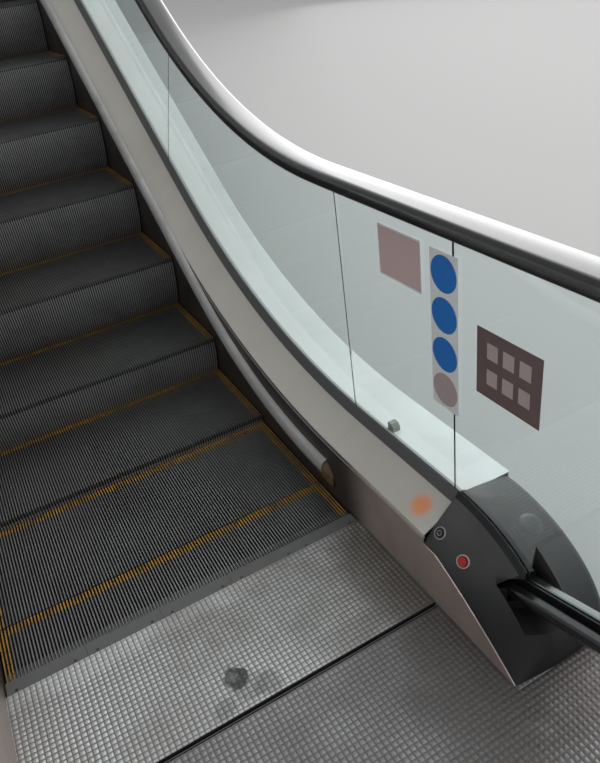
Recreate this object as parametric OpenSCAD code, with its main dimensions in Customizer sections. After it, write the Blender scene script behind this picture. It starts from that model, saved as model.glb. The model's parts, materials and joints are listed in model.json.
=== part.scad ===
// Glass-sided escalator with 1000 mm steps, from the lower landing up to the next floor
// Working frame of the modules: X across, Y up the run from the lower comb tips, Z from the floor

/* [Run] */
// Height between the two landings
rise = 3400; // [2600:50:6000]
// Angle of the incline
incline = 35; // [27:1:35]
// Level stretch of the step noses from comb tips to bend
level_run = 297; // [200:1:900]
// Radius of the step nose path in both bends
nose_r = 1170; // [1000:10:1500]
// Length of each landing from comb tips to its outer end
landing = 1450; // [1200:10:2200]
// Height of the floor over the face that the machine bears on
floor_h = 150; // [140:1:220]

/* [Steps] */
// Distance from one step to the next along the chain
step_pitch = 405; // [395:1:410]
// Gap between a tread and the riser of the next step
step_gap = 4; // [2:0.5:6]
// Running gap between step and skirt on each side
side_gap = 4; // [2:0.5:6]
// Nose of the first step seen, from the lower comb tips
first_nose = 156; // [60:1:300]
// Number of cleats across a tread
cleats = 113; // [81:2:121]
// Share of the pitch that a cleat fills
cleat_share = 0.4; // [0.3:0.02:0.5]
// Height of a cleat
cleat_h = 11; // [8:0.5:14]
// Thickness of the tread plate under its cleats
tread_t = 7; // [5:0.5:12]
// Thickness of the riser
riser_t = 10; // [6:0.5:14]
// Room left in front of the riser plate for its fine ribs
rib_h = 4; // [2:0.5:6]
// Diameter of the step rollers
roller_d = 76; // [60:1:90]
// Width of a step roller
roller_w = 24; // [16:1:30]
// Thickness of a step's side frame
yoke_t = 10; // [6:1:16]

/* [Combs and floor] */
// Length of a comb tooth
tooth_l = 34; // [25:1:45]
// Clearance of a tooth in its groove on each side
tooth_gap = 0.9; // [0.5:0.1:1.2]
// Distance from the comb tips to the carrier plate
comb_l = 76; // [60:1:100]
// Number of comb segments across
comb_parts = 5; // [3:1:7]
// Distance from the comb tips to the far edge of the carrier plate
carrier_l = 430; // [300:5:480]
// Thickness of the floor plates
plate_t = 10; // [6:1:16]
// Gap between the treads and the plates that they run under
under_gap = 2; // [1:0.5:4]
// Open joint round a floor plate
plate_gap = 8; // [3:1:12]

/* [Balustrade] */
// Clear width between the two skirts
way_w = 1004; // [804:1:1104]
// Thickness of the skirt sheet
skirt_t = 3; // [2:0.5:6]
// Height of the skirt top over the floor
deck_z = 208; // [180:1:260]
// How much nearer the step noses the decks run on the incline
deck_drop = 48; // [20:1:60]
// Radius of the deck line in the bends
deck_r = 2200; // [1500:10:3000]
// Width of the sloping inner deck
deck_w = 95; // [70:1:120]
// Slope of the inner deck across
deck_slope = 25; // [20:1:40]
// Thickness of the deck sheets
deck_t = 3; // [2:0.5:5]
// Distance from the comb tips to the end of the decks
deck_end = 385; // [300:5:500]
// Width of the rubber gasket beside the glass
gasket_w = 15; // [8:1:25]
// Height that the gasket rises over the deck edge
gasket_h = 32; // [15:1:45]
// Thickness of the glass
glass_t = 10; // [8:1:14]
// Depth of the glass clamp under the inner deck's high edge
clamp_depth = 100; // [70:1:110]
// Width of the glass clamp
clamp_w = 42; // [36:1:60]
// Wall of the glass clamp
clamp_t = 6; // [4:0.5:8]
// Width of the outer deck
outer_w = 135; // [100:1:200]
// Height of the outer deck over the inner deck's high edge
outer_lift = 18; // [5:1:30]
// Depth of the lip on the outside of the outer deck
outer_lip = 40; // [20:1:60]
// Open joint between two sheets of glass
glass_gap = 4; // [2:0.5:8]
// Distance from the skirt face to the edge of its deflector
deflector_w = 24; // [18:1:35]

/* [Handrails] */
// Height of the handrail lips over the floor
rail_z = 933; // [880:1:1000]
// How much nearer the step noses the handrail runs on the incline
rail_drop = 18; // [0:1:40]
// Radius of the handrail in the bends
rail_r = 1820; // [1200:10:2600]
// Width of the handrail
rail_w = 80; // [74:1:90]
// Thickness of the handrail over its lips
rail_t = 37; // [30:1:45]
// Rubber thickness at the lips and sides
rail_wall = 9; // [7:1:12]
// Radius of the newel, measured to the handrail lips
newel_r = 342; // [280:1:400]
// Distance from the comb tips to the centre of the newel
newel_y = 800; // [700:10:1000]
// Slope of the handrail where it enters the newel base
inlet_slope = 17; // [10:1:25]

/* [Newel bases] */
// Reach of the newel base beyond the comb tips
cap_end = 715; // [650:5:780]
// Height of the newel base at the glass
cap_h = 285; // [250:5:320]
// Height of its inner edge where the deck ends
cap_edge = 180; // [150:5:200]

/* [Housing] */
// Thickness of the side panels
panel_t = 15; // [8:1:25]
// Depth of the truss under the step noses, measured upright
truss_depth = 1150; // [1050:10:1300]
// Depth of the upper head under the upper floor
head_depth = 1000; // [900:10:1200]
// Thickness of the soffit sheet
soffit_t = 12; // [6:1:20]
// Size of the truss chords
chord = 80; // [60:5:100]
// Depth of the truss top under the floor
chord_drop = 25; // [20:1:40]
// Width of the truss posts
post_w = 60; // [40:5:80]
// Number of truss bays
bays = 8; // [4:1:12]
// Wall of the landing frames
rim_t = 8; // [5:1:12]
// Number of side panels along each side
panels = 6; // [3:1:9]
// Width of the angle that carries each end
bearing_w = 150; // [100:5:200]
// Thickness of that angle
bearing_t = 16; // [10:1:25]

/* [Controls] */
// Diameter of the stop button
button_d = 22; // [20:1:40]
// Travel of the stop button
button_travel = 5; // [3:0.5:8]
// Diameter of the key switch
key_d = 20; // [16:1:28]
// Running gap round the button and the key barrel
control_gap = 0.5; // [0.3:0.1:1]
// Width of the pale ring round each of them
ring_w = 5.5; // [5:0.5:12]

/* [Hidden] */
$fn = 48;
slope = tan(incline);
corner_y = level_run + nose_r * tan(incline / 2);
run_y = 2 * corner_y + rise / slope;
half_way = way_w / 2;
skirt_x = half_way + skirt_t;
glass_x = skirt_x + deck_w + gasket_w;
mid_x = glass_x + glass_t / 2;
outer_x = glass_x + glass_t + gasket_w;
side_x = outer_x + outer_w;
deck_rise = deck_w * tan(deck_slope);
glass_foot = deck_z + deck_rise - 90;
bearing_y = landing + bearing_w / 2;
step_w = way_w - 2 * side_gap;
pitch_x = step_w / cleats;
base_z = -floor_h;
floor_z = plate_t + under_gap;
deck_crown = deck_rise + outer_lift;
clamp_n = deck_rise - clamp_depth;
chord_n = -(deck_z + chord_drop);
ledge_z = floor_z - plate_t;
truss_x = side_x - panel_t - chord;
plate_x = side_x - rim_t - plate_gap;
under_x = skirt_x + 35;
cover_y = (carrier_l + landing) / 2;
inlet_y = deck_end + 0.6 * (cap_end - deck_end);
track_l = 300;
track_t = 10;
seat = 0.3;
glass_fit = 0.1;

// Length of the nose path from comb to comb
nose_len = 2 * level_run + 2 * nose_r * incline * PI / 180
    + (run_y - 2 * level_run - 2 * nose_r * sin(incline)) / cos(incline);
step_count = ceil((nose_len - first_nose) / step_pitch) + 1;

// Place of a point on the nose path, from its length along the path
bend_len = nose_r * incline * PI / 180;
slant_len = nose_len - 2 * level_run - 2 * bend_len;
function nose_at(s) =
    s < level_run ? [s, 0] :
    s < level_run + bend_len ?
        let (a = (s - level_run) * 180 / PI / nose_r)
        [level_run + nose_r * sin(a), nose_r * (1 - cos(a))] :
    s < level_run + bend_len + slant_len ?
        let (d = s - level_run - bend_len)
        [level_run + nose_r * sin(incline) + d * cos(incline),
         nose_r * (1 - cos(incline)) + d * sin(incline)] :
    s < nose_len - level_run ?
        let (a = (nose_len - level_run - s) * 180 / PI / nose_r)
        [run_y - level_run - nose_r * sin(a), rise - nose_r * (1 - cos(a))] :
    [run_y - (nose_len - s), rise];

// A line along the run is level at z, drops nearer the noses on the incline and bends with radius r
function low_corner(drop) = corner_y + drop / slope;
function high_corner(drop) = run_y - corner_y + drop / slope;
function run_path(drop, r, y0, y1) =
    let (yl = low_corner(drop), yu = high_corner(drop), t = r * tan(incline / 2))
    [[yl - t - y0], [r, incline], [(yu - yl) / cos(incline) - 2 * t], [r, -incline], [y1 - yu - t]];

// The points of such a line, n above it and square to it
function run_points(z, drop, r, n, y0, y1, k = 10) =
    let (yl = low_corner(drop), yu = high_corner(drop), t = r * tan(incline / 2))
    concat([[y0, z + n]],
        [for (i = [0 : k]) let (a = incline * i / k)
            [yl - t + (r - n) * sin(a), z + r - (r - n) * cos(a)]],
        [for (i = [k : -1 : 0]) let (a = incline * i / k)
            [yu + t - (r + n) * sin(a), rise + z - r + (r + n) * cos(a)]],
        [[y1, rise + z + n]]);
function deck_points(n, y0, y1) = run_points(deck_z, deck_drop, deck_r, n, y0, y1, 24);
function flip(pts) = [for (i = [len(pts) - 1 : -1 : 0]) pts[i]];

// Stand a drawing of the Y-Z plane upright, from x to x + t
module upright(x, t) {
    translate([x, 0, 0]) rotate([90, 0, 90]) linear_extrude(t) children();
}

// Put a form from the working frame at its real place over the bearing face
module home() {
    translate([0, bearing_y, floor_h]) children();
}

// Turn a lower-landing form into the upper-landing one
module at_top() {
    translate([0, run_y, rise]) mirror([0, 1, 0]) children();
}

// Turn a right-hand form into the left-hand one
module at_left() {
    mirror([1, 0, 0]) children();
}

// Carry a cross-section along straights [length] and arcs [radius, angle] from the point p.
// The straights stop short of the arcs by part_gap, or reach into them if it is negative; $slim
// then asks for a section that is a hair smaller on the arcs, so that the pieces join soundly.
module carry(path, p, heading = 0, part_gap = 0, i = 0) {
    if (i < len(path)) {
        e = path[i];
        $slim = part_gap < 0 && len(e) > 1 ? joint_slim : 0;
        if (len(e) == 1) {
            translate([0, p[0], p[1]]) rotate([heading + 90, 0, 0])
                translate([0, 0, -e[0] + part_gap]) linear_extrude(e[0] - 2 * part_gap) children();
            carry(path, p + e[0] * [cos(heading), sin(heading)], heading, part_gap, i + 1)
                children();
        } else {
            side = sign(e[1]);
            c = p + side * e[0] * [-sin(heading), cos(heading)];
            after = heading + e[1];
            translate([0, c[0], c[1]]) rotate([90, 0, 90])
                if (side > 0)
                    rotate([0, 0, heading - 90]) rotate_extrude(angle = e[1], $fn = 240)
                        translate([e[0], 0]) rotate(90) children();
                else
                    rotate([0, 0, after + 90]) rotate_extrude(angle = -e[1], $fn = 240)
                        translate([e[0], 0]) mirror([1, 0]) rotate(90) children();
            carry(path, c + side * e[0] * [sin(after), -cos(after)], after, part_gap, i + 1)
                children();
        }
    }
}
joint_slim = 0.02;
section_gap = 0.4;

// Carry a cross-section along the deck line between the two deck ends
module along_deck(y0 = -deck_end, y1 = run_y + deck_end) {
    carry(run_path(deck_drop, deck_r, y0, y1), [y0, deck_z], part_gap = section_gap) children();
}

// Above the ground plane that the machine stands on
module above_ground() {
    intersection() {
        children();
        translate([-side_x - 100, -landing - bearing_w - 100, base_z])
            cube([2 * side_x + 200, run_y + 2 * landing + 2 * bearing_w + 200, rise + 2 * floor_h + 2000]);
    }
}

// One step with its cleated tread, ribbed riser, side frames and rollers, nose at the origin
axle_y = step_pitch - 75;
axle_z = -80;
trail_y = 120;
trail_z = axle_z - (axle_y - trail_y) * slope;
yoke_x = step_w / 2 - 130;
lead_x = skirt_x + 7;
trail_x = step_w / 2 - roller_w - 30;
cleat_w = pitch_x * cleat_share;

module cleat_row(low, high) {
    polygon(concat(
        [for (i = [0 : cleats - 1], c = [[-1, 0], [-1, 1], [1, 1], [1, 0]])
            [-step_w / 2 + (i + 0.5) * pitch_x + c[0] * cleat_w / 2, c[1] * high]],
        [[step_w / 2, 0], [step_w / 2, -low], [-step_w / 2, -low], [-step_w / 2, 0]]));
}

module tread() {
    translate([0, step_pitch - step_gap, -cleat_h]) rotate([90, 0, 0])
        linear_extrude(step_pitch - step_gap) cleat_row(tread_t, cleat_h);
}

module riser() {
    top = asin((cleat_h + 2) / step_pitch);
    width = step_w - 2;
    translate([0, step_pitch, 0]) rotate([90, 0, 90]) translate([0, 0, -width / 2])
        rotate([0, 0, 180 + top]) rotate_extrude(angle = incline + 5 - top, $fn = 120)
        translate([step_pitch - rib_h - riser_t, 0]) square([riser_t, width]);
}

// Middle of the riser plate at height z
function riser_y(z) = step_pitch - sqrt((step_pitch - rib_h - riser_t / 2) ^ 2 - z * z);

module yoke() {
    under = -cleat_h - tread_t + 1;
    foot = -120;
    upright(0, yoke_t) polygon([
        [riser_y(under), under], [step_pitch - 30, under],
        [axle_y + 26, axle_z - 18], [axle_y - 26, axle_z - 24],
        [trail_y + 30, trail_z - 26], [trail_y - 20, trail_z - 26], [riser_y(foot), foot],
        [riser_y(foot / 2), foot / 2]]);
}

module roller(x, y, z) {
    translate([x, y, z]) rotate([0, 90, 0]) cylinder(h = roller_w, d = roller_d);
    translate([yoke_x, y, z]) rotate([0, 90, 0]) cylinder(h = x - yoke_x + roller_w / 2, d = 20);
}

module step_half() {
    translate([yoke_x, 0, 0]) yoke();
    roller(lead_x, axle_y, axle_z);
    roller(trail_x, trail_y, trail_z);
}

module step() {
    tread();
    riser();
    step_half();
    at_left() step_half();
}

// The steps are built in groups that share a node
step_groups = 5;
module steps(group) {
    first = round(group * step_count / step_groups);
    last = round((group + 1) * step_count / step_groups) - 1;
    home() color("silver") for (i = [first : last]) {
        q = nose_at(first_nose + (i - 1) * step_pitch);
        if (q[1] + trail_z - roller_d / 2 < base_z)
            above_ground() translate([0, q[0], q[1]]) step();
        else
            translate([0, q[0], q[1]]) step();
    }
}
module steps_1() { steps(0); }
module steps_2() { steps(1); }
module steps_3() { steps(2); }
module steps_4() { steps(3); }
module steps_5() { steps(4); }

// Tracks that the step rollers run on, from the truss sides inwards; on the incline the
// trailing rollers' track lies inside the leading rollers' one, a hair lower
module track(shift_y, z, x_in, top_n, t) {
    above_ground() translate([0, shift_y, 0])
        carry(run_path(0, nose_r, -track_l, run_y + track_l), [-track_l, z], part_gap = -section_gap)
        translate([x_in + $slim, top_n - t + $slim]) square([truss_x - x_in, t] - 2 * [$slim, $slim]);
}

module tracks() {
    lead_n = -roller_d / 2 - seat;
    home() color("dimgray") for (m = [0, 1]) mirror([m, 0, 0]) {
        track(axle_y, axle_z, lead_x - 5, lead_n, track_t);
        track(trail_y, trail_z, trail_x - 5, lead_n - 0.2, track_t - 2);
    }
}

// Comb teeth that reach into the grooves of the tread, on separate segments
module comb_side() {
    polygon([[-comb_l, under_gap], [-comb_l, floor_z], [-tooth_l, floor_z - 2], [0, -1],
             [0, -cleat_h + 4], [-tooth_l + 6, -cleat_h + 3], [-tooth_l, under_gap]]);
}

module comb_outline(n) {
    w = step_w / comb_parts;
    tooth_w = pitch_x - cleat_w - 2 * tooth_gap;
    x0 = -step_w / 2 + n * w;
    translate([x0 + 0.3, -comb_l]) square([w - 0.6, comb_l - tooth_l]);
    for (i = [1 : cleats - 1]) {
        x = -step_w / 2 + i * pitch_x;
        if (x > x0 + tooth_w / 2 && x <= x0 + w - tooth_w / 2)
            translate([x - tooth_w / 2, -tooth_l - 1]) square([tooth_w, tooth_l + 1]);
    }
}

module comb() {
    for (n = [0 : comb_parts - 1]) intersection() {
        translate([0, 0, -50]) linear_extrude(100) comb_outline(n);
        upright(-step_w / 2, step_w) comb_side();
    }
}
module comb_lower() { home() color("lightgray") comb(); }
module comb_upper() { home() at_top() color("lightgray") comb(); }

// Carrier plate behind the comb, and the two covers that lift out of a landing
module carrier() {
    narrow = half_way - 2;
    translate([0, 0, ledge_z]) linear_extrude(plate_t) {
        translate([-under_x, -deck_end + seat]) square([2 * under_x, deck_end - comb_l - 2 * seat]);
        translate([-narrow, -carrier_l]) square([2 * narrow, carrier_l - comb_l - seat]);
    }
}
module comb_carrier_lower() { home() color("darkgray") carrier(); }
module comb_carrier_upper() { home() at_top() color("darkgray") carrier(); }

module covers() {
    narrow = half_way - 2;
    inner_y = -carrier_l - plate_gap;
    wide_y = -cap_end - plate_gap;
    joint_y = -cover_y + plate_gap / 2;
    translate([0, 0, ledge_z]) linear_extrude(plate_t) {
        polygon([[-narrow, inner_y], [narrow, inner_y], [narrow, wide_y], [plate_x, wide_y],
                 [plate_x, joint_y], [-plate_x, joint_y], [-plate_x, wide_y], [-narrow, wide_y]]);
        translate([-plate_x, -landing + rim_t + plate_gap])
            square([2 * plate_x, landing - cover_y - rim_t - 1.5 * plate_gap]);
    }
}
module floor_covers_lower() { home() color("darkgray") covers(); }
module floor_covers_upper() { home() at_top() color("darkgray") covers(); }

// Frame round a landing, with the ledges and bars that carry its plates and newel bases
module landing_frame() {
    bar_z = -chord_drop;
    bar_h = ledge_z - bar_z;
    module bar(y) {
        translate([-side_x + rim_t, y - 25, bar_z]) cube([2 * (side_x - rim_t), 50, bar_h]);
    }
    module side() {
        translate([side_x - rim_t, -landing, base_z])
            cube([rim_t, landing - deck_end, floor_z - base_z]);
        translate([side_x - rim_t - 40, -landing + rim_t, ledge_z - 8])
            cube([40, landing - cap_end - rim_t, 8]);
        translate([half_way, -cap_end, bar_z])
            cube([side_x - rim_t - half_way, cap_end - deck_end, floor_z - bar_z]);
        translate([half_way - 25, -cap_end, bar_z])
            cube([25, cap_end - carrier_l - 20, bar_h]);
        translate([skirt_x + 2, -deck_end, bar_z]) cube([58, deck_end - comb_l + 16, bar_h]);
    }
    side();
    at_left() side();
    translate([-side_x, -landing, base_z]) cube([2 * side_x, rim_t, floor_z - base_z]);
    translate([-side_x + rim_t, -landing + rim_t, ledge_z - 8])
        cube([2 * (side_x - rim_t), 40, 8]);
    bar(-carrier_l - plate_gap / 2);
    bar(-cap_end);
    bar(-cover_y);
}
module landing_frame_lower() { home() color("gray") landing_frame(); }
module landing_frame_upper() { home() at_top() color("gray") landing_frame(); }

// Angle that hangs each end of the machine on the building, with holes for its bolts
bolt_x = side_x - 175;
bolt_d = 22;
module bearing() {
    difference() {
        union() {
            translate([-side_x, -landing - bearing_w, base_z])
                cube([2 * side_x, bearing_w, bearing_t]);
            translate([-side_x, -landing - bearing_t, base_z])
                cube([2 * side_x, bearing_t, floor_h - 30]);
        }
        for (x = [-bolt_x, bolt_x]) translate([x, -bearing_y, base_z - 1])
            cylinder(h = bearing_t + 2, d = bolt_d);
    }
}
module lower_bearing() { home() color("dimgray") bearing(); }
module upper_bearing() { home() at_top() color("dimgray") bearing(); }

// Side view of the truss: its underside climbs from the ground plane to the upper head
function under_points(d) =
    let (drop = truss_depth + d / cos(incline))
    [[corner_y + (base_z + drop) / slope, base_z],
     [corner_y + (rise - head_depth - d + drop) / slope, rise - head_depth - d]];
y_front = -landing + rim_t;
y_back = run_y + landing - soffit_t;
module truss_outline(inset) {
    foot = under_points(-inset);
    polygon(concat(deck_points(chord_n - inset, y_front + inset, y_back - inset),
        [[y_back - inset, foot[1][1]], foot[1], foot[0], [y_front + inset, base_z]]));
}

function bay_y(i) = low_corner(0) + (run_y - corner_y + 400 - low_corner(0)) * i / bays;
module truss_webs() {
    top = rise + floor_h;
    for (i = [0 : bays]) translate([bay_y(i), base_z]) square([post_w, top]);
    for (i = [1 : bays - 1]) {
        y0 = bay_y(i);
        y1 = bay_y(i + 1);
        z0 = (y0 - corner_y) * slope + chord_n - 40;
        z1 = (y1 - corner_y) * slope - truss_depth + 60;
        polygon([[y0, z0 + 40], [y0 + post_w, z0 + 40], [y1 + post_w, z1], [y1, z1 - 40]]);
    }
}

// Short posts that lift the glass clamp over the truss
module deck_posts() {
    intersection() {
        polygon(concat(deck_points(chord_n - 1, -deck_end, run_y + deck_end),
            flip(deck_points(clamp_n - clamp_t - seat, -deck_end, run_y + deck_end))));
        for (i = [-1 : bays + 1]) translate([bay_y(i) - 180, base_z])
            square([post_w, rise + 2 * floor_h + deck_z]);
    }
}

module truss() {
    color("dimgray") {
        upright(truss_x, chord) {
            difference() {
                truss_outline(0);
                truss_outline(chord);
                translate([y_front - 10, base_z - 2000]) square([run_y + 2 * landing, 2000]);
            }
            intersection() {
                truss_outline(1);
                truss_webs();
            }
        }
        upright(truss_x, chord) deck_posts();
    }
}
module truss_right() { home() truss(); }
module truss_left() { home() at_left() truss(); }

// Beams between the two trusses, on their lower chords
module cross_beams() {
    home() color("dimgray") for (i = [2 : bays]) {
        y = bay_y(i) + post_w / 2;
        z = max(base_z + 60, min((y - corner_y) * slope - truss_depth + 70,
            rise - head_depth + 20));
        translate([-truss_x, y - 30, z]) cube([2 * truss_x, 60, 60]);
    }
}

// Side panels, soffit and the closing plate of the upper head
module side_panels() {
    foot = under_points(soffit_t);
    panel_top = deck_crown - outer_lip - seat;
    color("gainsboro") upright(side_x - panel_t, panel_t) difference() {
        polygon(concat([[-deck_end, base_z]],
            deck_points(panel_top, -deck_end, run_y + deck_end),
            [[run_y + deck_end, rise + base_z], [y_back, rise + base_z],
             [y_back, rise - head_depth - soffit_t], foot[1], foot[0]]));
        for (i = [1 : panels - 1])
            translate([-deck_end + i * (run_y + 2 * deck_end) / panels, base_z - 1])
                square([4, rise + 2 * floor_h + deck_z]);
    }
}
module side_panels_right() { home() side_panels(); }
module side_panels_left() { home() at_left() side_panels(); }

module soffit() {
    home() color("gainsboro") upright(-side_x + panel_t, 2 * (side_x - panel_t))
        polygon(concat(under_points(0), [[y_back, rise - head_depth],
            [y_back, rise - head_depth - soffit_t]], flip(under_points(soffit_t))));
}

module end_plate() {
    home() color("gainsboro") translate([-side_x, y_back, rise - head_depth - soffit_t])
        cube([2 * side_x, soffit_t, head_depth + soffit_t + base_z]);
}

// Skirts: sheets beside the steps, with the curved ends that close the newel bases
edge_y = deck_end + 45;
skirt_end = cap_end - 10;
edge_bulge = 44;
skirt_parts = 4;
function edge_points(n) = [for (i = [0 : n]) let (t = i / n)
    [-edge_y - (skirt_end - edge_y) * t,
     cap_edge + (floor_z - cap_edge) * t + edge_bulge * t * (1 - t)]];
function at_top_points(pts) = [for (p = flip(pts)) [run_y - p[0], rise + p[1]]];
module skirt_shape() {
    foot_z = axle_z + 20;
    start = concat([[-comb_l + 2, foot_z], [-comb_l + 2, floor_z]], flip(edge_points(8)),
        [[-deck_end, cap_edge]]);
    polygon(concat(start, deck_points(-4, -deck_end, run_y + deck_end), at_top_points(start),
        flip(run_points(foot_z, axle_y * slope, nose_r, 0, -comb_l + 3, run_y + comb_l - 3, 24))));
}
module skirt() {
    color("dimgray") upright(half_way, skirt_t) difference() {
        skirt_shape();
        for (i = [1 : skirt_parts - 1])
            translate([i * run_y / skirt_parts, base_z]) square([1, rise + 2 * floor_h + deck_z]);
    }
}
module skirt_right() { home() skirt(); }
module skirt_left() { home() at_left() skirt(); }

// Skirt deflectors, higher over the noses on the incline than on the level: a holder that is
// rounded above and has a straight nose, with an end piece that narrows towards the skirt
deflector_z = 90;
deflector_y = 84;
deflector_h = 42;
deflector_end = 28;
nose_h = 14;
function deflector_points(k) = concat([[0, 0], [0, k * deflector_h]],
    [for (a = [70 : -14 : 0]) k * [-deflector_w * cos(a), nose_h + (deflector_h - nose_h) * sin(a)]],
    [k * [-deflector_w, 4], k * [-deflector_w + 4, 0]]);
module deflector() {
    color("silver") {
        carry(run_path(-40, 1500, deflector_y, run_y - deflector_y), [deflector_y, deflector_z],
            part_gap = section_gap)
            translate([half_way, 0]) polygon(deflector_points(1));
        for (end = [[deflector_y, 0, 1], [run_y - deflector_y, rise, -1]])
            translate([half_way, end[0], end[1] + deflector_z]) mirror([0, end[2] < 0 ? 1 : 0, 0])
                loft([for (t = [0 : 0.25 : 1]) let (k = 0.4 + 0.6 * sqrt(t))
                    [for (q = flip(deflector_points(k)))
                        [q[0], -deflector_end * (1 - t), q[1] + 10 * (1 - t)]]]);
    }
}
module deflectors() { home() { deflector(); at_left() deflector(); } }

// Inner deck: a folded sheet that slopes up from the skirt to the gasket
module inner_deck() {
    color("tan") along_deck() translate([skirt_x, 0])
        polygon([[0, -14], [0, 0], [deck_w, deck_rise], [deck_w, deck_rise - 12],
            [deck_w - deck_t, deck_rise - 12], [deck_w - deck_t, deck_rise - deck_t - 2],
            [deck_t, -deck_t], [deck_t, -14]]);
}
module inner_deck_right() { home() inner_deck(); }
module inner_deck_left() { home() at_left() inner_deck(); }

// Outer deck: a folded sheet from the outer gasket over the side panels
module outer_deck() {
    color("whitesmoke") along_deck() translate([outer_x, deck_crown])
        polygon([[0, -12], [0, 0], [outer_w, 0], [outer_w, -outer_lip],
            [outer_w - deck_t, -outer_lip], [outer_w - deck_t, -deck_t], [deck_t, -deck_t],
            [deck_t, -12]]);
}
module outer_deck_right() { home() outer_deck(); }
module outer_deck_left() { home() at_left() outer_deck(); }

// Small moulded block on the right outer deck, against the gasket
block_size = [22, 26, 24];
block_y = -70;
module deck_block() {
    color("gray") home() translate([outer_x + 1, block_y, deck_z + deck_crown])
        upright(0, block_size[0]) polygon([[-block_size[1] / 2, 0], [-block_size[1] / 2, 14],
            [-4, block_size[2]], [block_size[1] / 2 - 2, block_size[2]],
            [block_size[1] / 2, block_size[2] - 2], [block_size[1] / 2, 0]]);
}

// Gaskets on both faces of the glass
module gasket() {
    near = gasket_w - glass_fit;
    leg = clamp_w / 2 - clamp_t - glass_t / 2 - glass_fit;
    color("black") along_deck() {
        translate([glass_x - glass_fit, deck_rise]) polygon([[0, -12], [0, gasket_h], [-3, gasket_h - 2],
            [-near + 1, 3], [-near, 2], [-near, -12]]);
        translate([glass_x + glass_t + glass_fit, deck_rise]) polygon([[0, -12],
            [0, outer_lift + 12], [3, outer_lift + 12], [near, outer_lift + 2], [near, -12]]);
        for (x = [-glass_t / 2 - glass_fit - leg, glass_t / 2 + glass_fit])
            translate([mid_x + x, clamp_n]) square([leg, clamp_depth - 12]);
    }
}
module gaskets_right() { home() gasket(); }
module gaskets_left() { home() at_left() gasket(); }

// Glass clamp: a channel whose foot lies on the truss posts
module clamp() {
    wall_h = clamp_depth - 13;
    color("silver") along_deck() translate([mid_x, clamp_n]) {
        translate([-clamp_w / 2, -clamp_t]) square([truss_x + chord - mid_x + clamp_w / 2, clamp_t]);
        translate([-clamp_w / 2, -clamp_t / 2]) square([clamp_t, wall_h + clamp_t / 2]);
        translate([clamp_w / 2 - clamp_t, -clamp_t / 2]) square([clamp_t, wall_h + clamp_t / 2]);
    }
}
module glass_clamps() { home() { clamp(); at_left() clamp(); } }

// Path of the handrail lips: over the glass, round both newels and back under the decks
newel_turn = 180 - inlet_slope;
newel_foot = [newel_y + newel_r * sin(inlet_slope), rail_z - newel_r * (1 + cos(inlet_slope))];
return_z = 100;
inlet_r = 600;
fillet = inlet_r * tan(inlet_slope / 2);
dive = (newel_foot[1] - return_z) / sin(inlet_slope) - fillet;
return_y = newel_foot[0] - (newel_foot[1] - return_z) / tan(inlet_slope) - fillet;
stub = (newel_foot[0] - inlet_y) / cos(inlet_slope);
top_run = run_path(rail_drop, rail_r, -newel_y, run_y + newel_y);
under_run = run_path(deck_drop, deck_r, -return_y, run_y + return_y);
newel = [[newel_r, -newel_turn]];
function back(path) = [for (i = [len(path) - 1 : -1 : 0])
    len(path[i]) == 1 ? path[i] : [path[i][0], -path[i][1]]];

module along_handrail() {
    carry(concat(top_run, newel, [[dive], [inlet_r, -inlet_slope]], back(under_run),
        [[inlet_r, -inlet_slope], [dive]], newel), [-newel_y, rail_z], part_gap = -section_gap)
        children();
}

// C-shaped handrail whose lips close round its guide
function arc_points(c, r, a0, a1, n) = [for (i = [0 : n]) let (a = a0 + (a1 - a0) * i / n)
    c + r * [cos(a), sin(a)]];
mouth_w = rail_w / 2 - 22;
slot_w = rail_w / 2 - rail_wall;
module handrail_section(thin) {
    top_r = 15 - thin;
    lip_r = 7 - thin;
    w = rail_w / 2 - thin;
    top = rail_t - thin;
    mouth = mouth_w + thin;
    slot = slot_w + thin;
    low = rail_wall - thin;
    high = rail_t - rail_wall + thin;
    polygon(concat([[-mouth, thin]], arc_points([-w + lip_r, thin + lip_r], lip_r, 270, 180, 3),
        arc_points([-w + top_r, top - top_r], top_r, 180, 97, 4),
        arc_points([w - top_r, top - top_r], top_r, 83, 0, 4),
        arc_points([w - lip_r, thin + lip_r], lip_r, 0, -90, 3),
        [[mouth, thin], [mouth, low], [slot, low], [slot, high], [-slot, high], [-slot, low],
         [-mouth, low]]));
}
module handrail() {
    color([0.06, 0.06, 0.06]) along_handrail() translate([mid_x, 0]) handrail_section($slim);
}
module handrail_right() { home() handrail(); }
module handrail_left() { home() at_left() handrail(); }

// Guide that straddles the edge of the glass and carries the handrail from inlet to inlet
glass_n = 6;
module guide_section() {
    neck = glass_t / 2 + 4;
    slot = glass_t / 2 + glass_fit;
    low = rail_wall + seat;
    high = rail_t - rail_wall - seat;
    polygon([[-neck, -14], [-neck, low], [-slot_w + 2, low], [-slot_w + 2, high],
        [slot_w - 2, high], [slot_w - 2, low], [neck, low], [neck, -14], [slot, -14],
        [slot, glass_n + seat], [-slot, glass_n + seat], [-slot, -14]]);
}
module guide() {
    start = [-newel_foot[0], newel_foot[1]] + stub * [cos(inlet_slope), -sin(inlet_slope)];
    color("silver") carry(concat([[stub]], newel, top_run, newel, [[stub]]), start,
        180 - inlet_slope, section_gap) translate([mid_x, 0]) guide_section();
}
module handrail_guides() { home() { guide(); at_left() guide(); } }

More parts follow.
